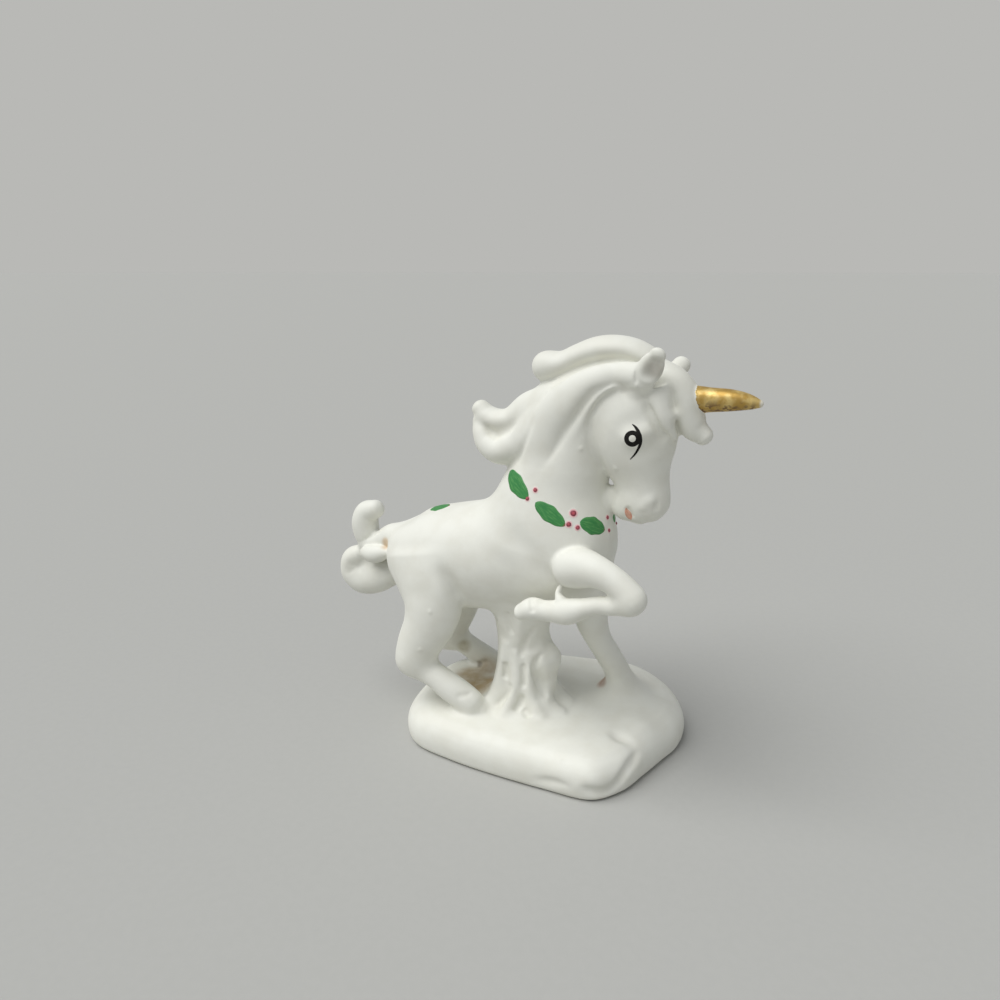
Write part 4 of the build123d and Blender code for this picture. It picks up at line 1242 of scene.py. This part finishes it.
# %% Marks along the garland
# Each leaf: pixels of its two ends, and its width in pixels
leaves = [
    ((508.5, 470.5), (524.5, 498), 18),
    ((535, 502.5), (565, 526), 16.5),
    ((581.5, 522), (606, 530), 18),
]
rump_leaf = ((431.5, 510.5), (449, 502.5), 18)
chest_leaf = ((615.5, 509.5), (615, 522.5), 11)
# Pixels to either side of a berry's middle between which its heading is taken
berry_span = 2
# Each berry: its middle and the width of its halo in pixels
berries = [
    ((535.4, 490), 7.5),
    ((527.4, 498.6), 7.0),
    ((573.3, 513.3), 10.5),
    ((568.6, 524.4), 8.5),
    ((577.6, 527.6), 7.5),
    ((609, 530.4), 6.0),
    ((607.5, 517.5), 6.5),
]


def mark(first, last, width, hand=-1, level=None):
    """Place, facing, heading and stretch of a brush mark between two pixels, or near a level of Y."""
    found = []
    for pixel in (first, last, (np.array(first) + last) / 2):
        if level is None:
            place, facing = touch(*pixel)
        else:
            place, facing = rough_cast.find_nearest(place_at(*pixel, level)[0])[:2]
        found.append(mirrored(place) if hand > 0 else (place, facing))
    (start, _), (end, _), (middle, facing) = found
    run = end - start
    breadth = width * place_at(*first, start.y * -hand)[1] * mm
    return middle * mm, facing, run.normalized(), (run.length * mm, breadth, 1)


def mark_points(name, marks):
    """Loose points that carry the marks for Geometry Nodes."""
    mesh = bpy.data.meshes.new(name)
    mesh.from_pydata([row[0] for row in marks], [], [])
    for key, column in (("facing", 1), ("heading", 2), ("stretch", 3)):
        layer = mesh.attributes.new(key, "FLOAT_VECTOR", "POINT")
        layer.data.foreach_set("vector", np.array([row[column] for row in marks], np.float32).ravel())
    return stand(name, mesh)


leaf_marks = [mark(*leaf, hand) for leaf in leaves for hand in (-1, 1)]
leaf_marks += [mark(*rump_leaf, level=-1.0), mark(*chest_leaf, level=1.5)]
berry_marks = []
for (u, v), width in berries:
    for hand in (-1, 1):
        ends = (u - berry_span, v), (u + berry_span, v)
        middle, facing, heading, stretch = mark(*ends, width, hand)
        berry_marks.append((middle, facing, heading, (stretch[1], stretch[1], 1)))
print("leaves:", len(leaf_marks), "berries:", len(berry_marks))

# %% The tree that lays sheets of paint on a skin
drop_from = 4.0
longest_drop = 20.0
weld = 0.002
marks_tree = bpy.data.node_groups.new("paint_marks_on_a_skin", "GeometryNodeTree")
sockets = {}
for key, kind in (
    ("Marks", "NodeSocketGeometry"),
    ("Sheet of paint", "NodeSocketObject"),
    ("Skin", "NodeSocketObject"),
    ("Drop from", "NodeSocketFloat"),
    ("Paint", "NodeSocketMaterial"),
):
    sockets[key] = marks_tree.interface.new_socket(key, in_out="INPUT", socket_type=kind)
marks_tree.interface.new_socket("Painted", in_out="OUTPUT", socket_type="NodeSocketGeometry")
given = add(marks_tree, "NodeGroupInput")
kinds = {"facing": "FLOAT_VECTOR", "heading": "FLOAT_VECTOR", "stretch": "FLOAT_VECTOR", "crown": "FLOAT"}
named = {
    key: add(marks_tree, "GeometryNodeInputNamedAttribute", {"Name": key}, data_type=kind)["Attribute"]
    for key, kind in kinds.items()
}

# Each mark gets a copy of the sheet, turned to its facing and heading and stretched to its size
sheet = add(marks_tree, "GeometryNodeObjectInfo", {"Object": given["Sheet of paint"]})["Geometry"]
axes = {"Primary Axis": named["facing"], "Secondary Axis": named["heading"]}
turned = add(marks_tree, "FunctionNodeAxesToRotation", axes, primary_axis="Z", secondary_axis="X")["Rotation"]
copies = {"Points": given["Marks"], "Instance": sheet, "Rotation": turned, "Scale": named["stretch"]}
placed = add(marks_tree, "GeometryNodeInstanceOnPoints", copies)["Instances"]
real = add(marks_tree, "GeometryNodeRealizeInstances", {"Geometry": placed})["Geometry"]

# Every point goes up along the facing, drops onto the skin and rises by its film
lift = {0: named["facing"], "Scale": given["Drop from"]}
lift = add(marks_tree, "ShaderNodeVectorMath", lift, operation="SCALE")["Vector"]
start = {0: add(marks_tree, "GeometryNodeInputPosition")["Position"], 1: lift}
drop = {
    "Target Geometry": add(marks_tree, "GeometryNodeObjectInfo", {"Object": given["Skin"]})["Geometry"],
    "Source Position": add(marks_tree, "ShaderNodeVectorMath", start, operation="ADD")["Vector"],
    "Ray Direction": add(
        marks_tree, "ShaderNodeVectorMath", {0: named["facing"], "Scale": -1.0}, operation="SCALE"
    )["Vector"],
    "Ray Length": longest_drop * mm,
}
hit = add(marks_tree, "GeometryNodeRaycast", drop)
film = {0: hit["Hit Normal"], "Scale": named["crown"]}
film = add(marks_tree, "ShaderNodeVectorMath", film, operation="SCALE")["Vector"]
top = {0: hit["Hit Position"], 1: film}
top = add(marks_tree, "ShaderNodeVectorMath", top, operation="ADD")["Vector"]
laid = {"Geometry": real, "Selection": hit["Is Hit"], "Position": top}
laid = add(marks_tree, "GeometryNodeSetPosition", laid)["Geometry"]
closed = {"Geometry": laid, "Distance": weld * mm}
closed = add(marks_tree, "GeometryNodeMergeByDistance", closed)["Geometry"]
smooth = add(marks_tree, "GeometryNodeSetShadeSmooth", {"Geometry": closed})["Geometry"]
coated = add(marks_tree, "GeometryNodeSetMaterial", {"Geometry": smooth, "Material": given["Paint"]})
add(marks_tree, "NodeGroupOutput", {"Painted": coated["Geometry"]})
print("nodes in the tree:", len(marks_tree.nodes))

# %% Green paint of the leaves
# Ceramic paint, brushed on cold: opaque where it pooled, streaky where the brush dragged.
leaf_green = "#2F7F40"
leaf_streak = "#5F9F58"
leaf_tip = "#9A5A45"
leaf_edge = "#8FB583"
# The noise is denser across a leaf than along it, which makes streaks, and it shifts with
# the place on the figurine, so that each leaf's streaks are its own
streaks_along = 3.0
streaks_across = 5.0
streaks_shift = 90.0
streak_scale = 1.4
green_paint, tree, shader, coordinates = new_material("brushed_green_ceramic_paint", roughness=0.55)
along, across = [add(tree, "ShaderNodeAttribute", attribute_name=key)["Fac"] for key in ("along", "across")]
lengthwise = add(tree, "ShaderNodeMath", {0: along, 1: streaks_along}, operation="MULTIPLY")[0]
crosswise = add(tree, "ShaderNodeMath", {0: across, 1: streaks_across}, operation="MULTIPLY")[0]
brush = add(tree, "ShaderNodeCombineXYZ", {0: lengthwise, 1: crosswise})[0]
shift = {0: coordinates, "Scale": streaks_shift}
shift = add(tree, "ShaderNodeVectorMath", shift, operation="SCALE")["Vector"]
brushed = add(tree, "ShaderNodeVectorMath", {0: brush, 1: shift}, operation="ADD")["Vector"]
streaks = {"Vector": brushed, "Scale": streak_scale, "Detail": noise_detail}
streaks = add(tree, "ShaderNodeTexNoise", streaks)[0]
green = tint(tree, streaks, 0.4, 0.75, linear(leaf_green), linear(leaf_streak), full=0.7)
green = tint(tree, along, 0.93, 0.985, green, linear(leaf_tip))
from_rib = add(tree, "ShaderNodeMath", {0: across}, operation="ABSOLUTE")[0]
green = tint(tree, from_rib, 0.9, 1.0, green, linear(leaf_edge), full=0.45)
tree.links.new(green, shader["Base Color"])
bump = add(tree, "ShaderNodeBump", {"Height": streaks, "Distance": 0.05 * mm, "Strength": 0.5})
tree.links.new(bump["Normal"], shader["Normal"])

# %% Red paint of the berries
# The same paint, dotted on: a full drop with a darker rim, and a pale halo where it soaked in.
berry_red = "#BE5560"
berry_rim = "#8A3A47"
berry_halo = "#F3C3C4"
rim_grain = 0.5
rim_waver = 0.25
red_paint, tree, shader, coordinates = new_material("dotted_red_ceramic_paint", roughness=0.5)
outwards = add(tree, "ShaderNodeAttribute", attribute_name="along")["Fac"]
ragged = add(tree, "ShaderNodeTexNoise", cloudy(coordinates, rim_grain))[0]
ragged = add(tree, "ShaderNodeMath", {0: ragged, 1: 0.5}, operation="SUBTRACT")[0]
ragged = add(tree, "ShaderNodeMath", {0: ragged, 1: rim_waver}, operation="MULTIPLY")[0]
outwards = add(tree, "ShaderNodeMath", {0: outwards, 1: ragged}, operation="ADD")[0]
red = tint(tree, outwards, 0.12, 0.42, linear(berry_red), linear(berry_rim))
red = tint(tree, outwards, 0.52, 0.66, red, linear(berry_halo))
red = tint(tree, outwards, 0.7, 1.0, red, linear(bisque_white))
tree.links.new(red, shader["Base Color"])
print("paints: green, red")

# %% Lay the garland
painted_castings = (
    "torso", "neck", "raised_forearm", "mane_sheet_right", "mane_sheet_left", "mane_lock_lower",
)


def join_parts(parts):
    """Points and quads of several closed parts as one."""
    starts = np.cumsum([0] + [len(points) for points, _ in parts])
    points = np.vstack([points for points, _ in parts])
    return points, np.vstack([quads.astype(int) + start for (_, quads), start in zip(parts, starts)])


garland_skin = make_mesh("garland_skin", *join_parts([skins[name] for name in painted_castings]))


def lay_marks(name, marks, sheet, paint):
    """A piece of paint films, laid by the tree and turned into a plain mesh."""
    points = mark_points(name + "_marks", marks)
    modifier = points.modifiers.new("paint_marks", "NODES")
    modifier.node_group = marks_tree
    inputs = {"Sheet of paint": sheet, "Skin": garland_skin, "Drop from": drop_from * mm, "Paint": paint}
    for key, value in inputs.items():
        modifier[sockets[key].identifier] = value
    evaluated = points.evaluated_get(bpy.context.evaluated_depsgraph_get())
    mesh = bpy.data.meshes.new_from_object(evaluated)
    mesh.name = name
    points.modifiers.remove(modifier)
    bpy.data.objects.remove(points)
    print(name, len(mesh.polygons), "faces")
    return stand(name, mesh)


paint_pieces = {
    "holly_leaves": lay_marks("painted_holly_leaves", leaf_marks, leaf_sheet, green_paint),
    "holly_berries": lay_marks("painted_holly_berries", berry_marks, berry_sheet, red_paint),
}
for helper in (leaf_sheet, berry_sheet, garland_skin):
    bpy.data.objects.remove(helper)

# %% [markdown]
# ## The painted face
# The eye is a ring of black with one curved lash, drawn with the tip of a fine brush, and
# the mouth is one thin stroke of orange pink. Neither repeats, so each is drawn as a grid
# of pixels and dropped along the line of sight onto the head. The far side is drawn from
# the mirror image of the camera.

# %% Films of paint on the head
face_film = 0.07
ring_circles = 9
ring_sides = 64
points_across = 7
head_skin = BVHTree.FromPolygons(*[part.tolist() for part in skins["head"]])


def painted_film(pixels, thickness, wrapped, hand):
    """Points and quads of a closed film of paint under a grid of pixels."""
    mirror = Vector((1, -hand, 1))
    top, bottom = [], []
    for (u, v), height in zip(pixels.reshape(-1, 2), thickness.ravel()):
        place, facing, _, _ = head_skin.ray_cast(camera_place * mirror, sight(u, v) * mirror)
        top.append(place + facing * height)
        bottom.append(place - facing * sunk)
    points = np.array(top + bottom)
    return points, outward(points, film_faces(*pixels.shape[:2], wrapped))


def ring_grid(middle, inner, outer):
    """Pixels and film of a painted ring."""
    turns = np.arange(ring_sides) * 2 * math.pi / ring_sides
    share, turn = np.meshgrid(np.linspace(0, 1, ring_circles), turns, indexing="ij")
    radius = inner + (outer - inner) * share
    pixels = np.stack([middle[0] + radius * np.cos(turn), middle[1] + radius * np.sin(turn)], -1)
    return pixels, face_film * (1 - (2 * share - 1) ** 6)


def stroke_grid(rows):
    """Pixels and film of a brush stroke. Each row: pixel across, pixel down and width in pixels."""
    line = smooth_rows([(u, v, 0, width) for u, v, width in rows])
    across = unit(np.gradient(line[:, :2], axis=0))[:, ::-1] * (-1, 1)
    share = np.linspace(-1, 1, points_across)
    pixels = line[:, None, :2] + across[:, None] * line[:, 3, None, None] / 2 * share[None, :, None]
    return pixels, face_film * (1 - share**6)[None, :] * np.ones((len(line), 1))


# %% Paints of the face
# Black, thinned where the brush ran dry, and a pink that lets the bisque show through.
eye_black = "#090907"
eye_thin = "#1A1814"
mouth_pink = "#CC9078"
mouth_thin = "#DDAF98"
eye_grain = 0.6
bristle_grain = 0.4
mouth_grain = 0.9
black_paint, tree, shader, coordinates = new_material(
    "brushed_black_ceramic_paint", roughness=0.75, ior=1.35
)
thin = add(tree, "ShaderNodeTexNoise", cloudy(coordinates, eye_grain))[0]
tree.links.new(tint(tree, thin, 0.45, 0.75, linear(eye_black), linear(eye_thin)), shader["Base Color"])
roughen(tree, shader, coordinates, bristle_grain, depth=0.03, strength=0.5)

pink_paint, tree, shader, coordinates = new_material("brushed_pink_ceramic_paint", roughness=0.5)
thin = add(tree, "ShaderNodeTexNoise", cloudy(coordinates, mouth_grain))[0]
tree.links.new(tint(tree, thin, 0.35, 0.7, linear(mouth_pink), linear(mouth_thin)), shader["Base Color"])
print("paints: black, pink")

# %% Eyes and mouth
eye_inner = 3.5
eye_outer = 8.2
lash_rows = [
    (632.2, 424.2, 0.8), (635.2, 426.8, 2.4), (638.2, 431.5, 3.6), (640.0, 437.0, 4.2),
    (640.4, 443.0, 3.4), (638.2, 449.0, 2.6), (634.6, 454.6, 1.9), (630.2, 459.3, 0.8),
]
mouth_rows = [
    (626.0, 507.8, 0.8), (626.6, 510.6, 4.0), (628.4, 514.2, 6.0), (630.2, 517.6, 4.4),
    (631.4, 519.6, 0.8),
]
for label, hand in (("right", -1), ("left", 1)):
    ring = painted_film(*ring_grid(socket, eye_inner, eye_outer), True, hand)
    lash = painted_film(*stroke_grid(lash_rows), False, hand)
    paint_pieces["eye_" + label] = make_mesh("painted_eye_" + label, *join_parts([ring, lash]))
    paint_pieces["eye_" + label].data.materials.append(black_paint)
mouth_films = [painted_film(*stroke_grid(mouth_rows), False, hand) for hand in (-1, 1)]
paint_pieces["mouth"] = make_mesh("painted_mouth", *join_parts(mouth_films))
paint_pieces["mouth"].data.materials.append(pink_paint)
print("paint pieces:", list(paint_pieces))

# %% [markdown]
# ## Studio
# A plain pale sheet of paper under the figurine, and soft light from the upper left, as in
# the picture. The two lamps are suns with wide discs, so the light is the same everywhere
# and its shadows are soft. Seen straight by the camera, the room is as pale as the paper.

# %% The stage
# Uncoated paper: it has no shine, and its fibres give it a faint cloudiness
paper_colour = "#B4B4B0"
paper_fibre = "#AFAFAB"
fibre_grain = 2.0
floor_half = 40.0
stage_mesh = bpy.data.meshes.new("studio_floor")
corners = [(x * floor_half, y * floor_half, 0) for x, y in ((-1, -1), (1, -1), (1, 1), (-1, 1))]
stage_mesh.from_pydata(corners, [], [(0, 1, 2, 3)])
stand("studio_floor", stage_mesh)
paper, tree, shader, coordinates = new_material("pale_matte_paper", roughness=0.95)
fibres = add(tree, "ShaderNodeTexNoise", cloudy(coordinates, fibre_grain))[0]
paper_tone = tint(tree, fibres, 0.3, 0.7, linear(paper_colour), linear(paper_fibre), full=0.25)
tree.links.new(paper_tone, shader["Base Color"])
stage_mesh.materials.append(paper)

# %% The room
room_glow = "#C8CBCE"
room_wall = "#B9B9B6"
world = bpy.data.worlds.new("soft_room")
bpy.context.scene.world = world
world.use_nodes = True
tree = world.node_tree
room_light = tree.nodes["Background"]
room_light.inputs["Color"].default_value = linear(room_glow)
room_light.inputs["Strength"].default_value = 0.5
room_seen = add(tree, "ShaderNodeBackground", {"Color": linear(room_wall), "Strength": 1.0})[0]
rays = add(tree, "ShaderNodeLightPath")
seen = {0: rays["Is Camera Ray"], 1: rays["Is Glossy Ray"]}
seen = add(tree, "ShaderNodeMath", seen, operation="MAXIMUM")[0]
room = add(tree, "ShaderNodeMixShader", {0: seen, 1: room_light.outputs[0], 2: room_seen})[0]
tree.links.new(room, tree.nodes["World Output"].inputs["Surface"])


def wide_sun(name, place, power, disc):
    """A sun that shines from a place towards the figurine, with the width of its disc in degrees."""
    light = bpy.data.lights.new(name, "SUN")
    light.energy = power
    light.angle = math.radians(disc)
    lamp = stand(name, light)
    lamp.location = place
    lamp.rotation_euler = Vector(place).to_track_quat("Z", "Y").to_euler()


wide_sun("key_light", place=(-0.42, -0.42, 1.0), power=2.5, disc=50)
wide_sun("fill_light", place=(0.7, -0.5, 0.35), power=0.2, disc=90)
bpy.context.scene.view_settings.view_transform = "Standard"
print("lights: key, fill and the room")

# %% Ride and replace
for name, piece in {**pieces, **paint_pieces}.items():
    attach(piece, "root")
    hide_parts(name)
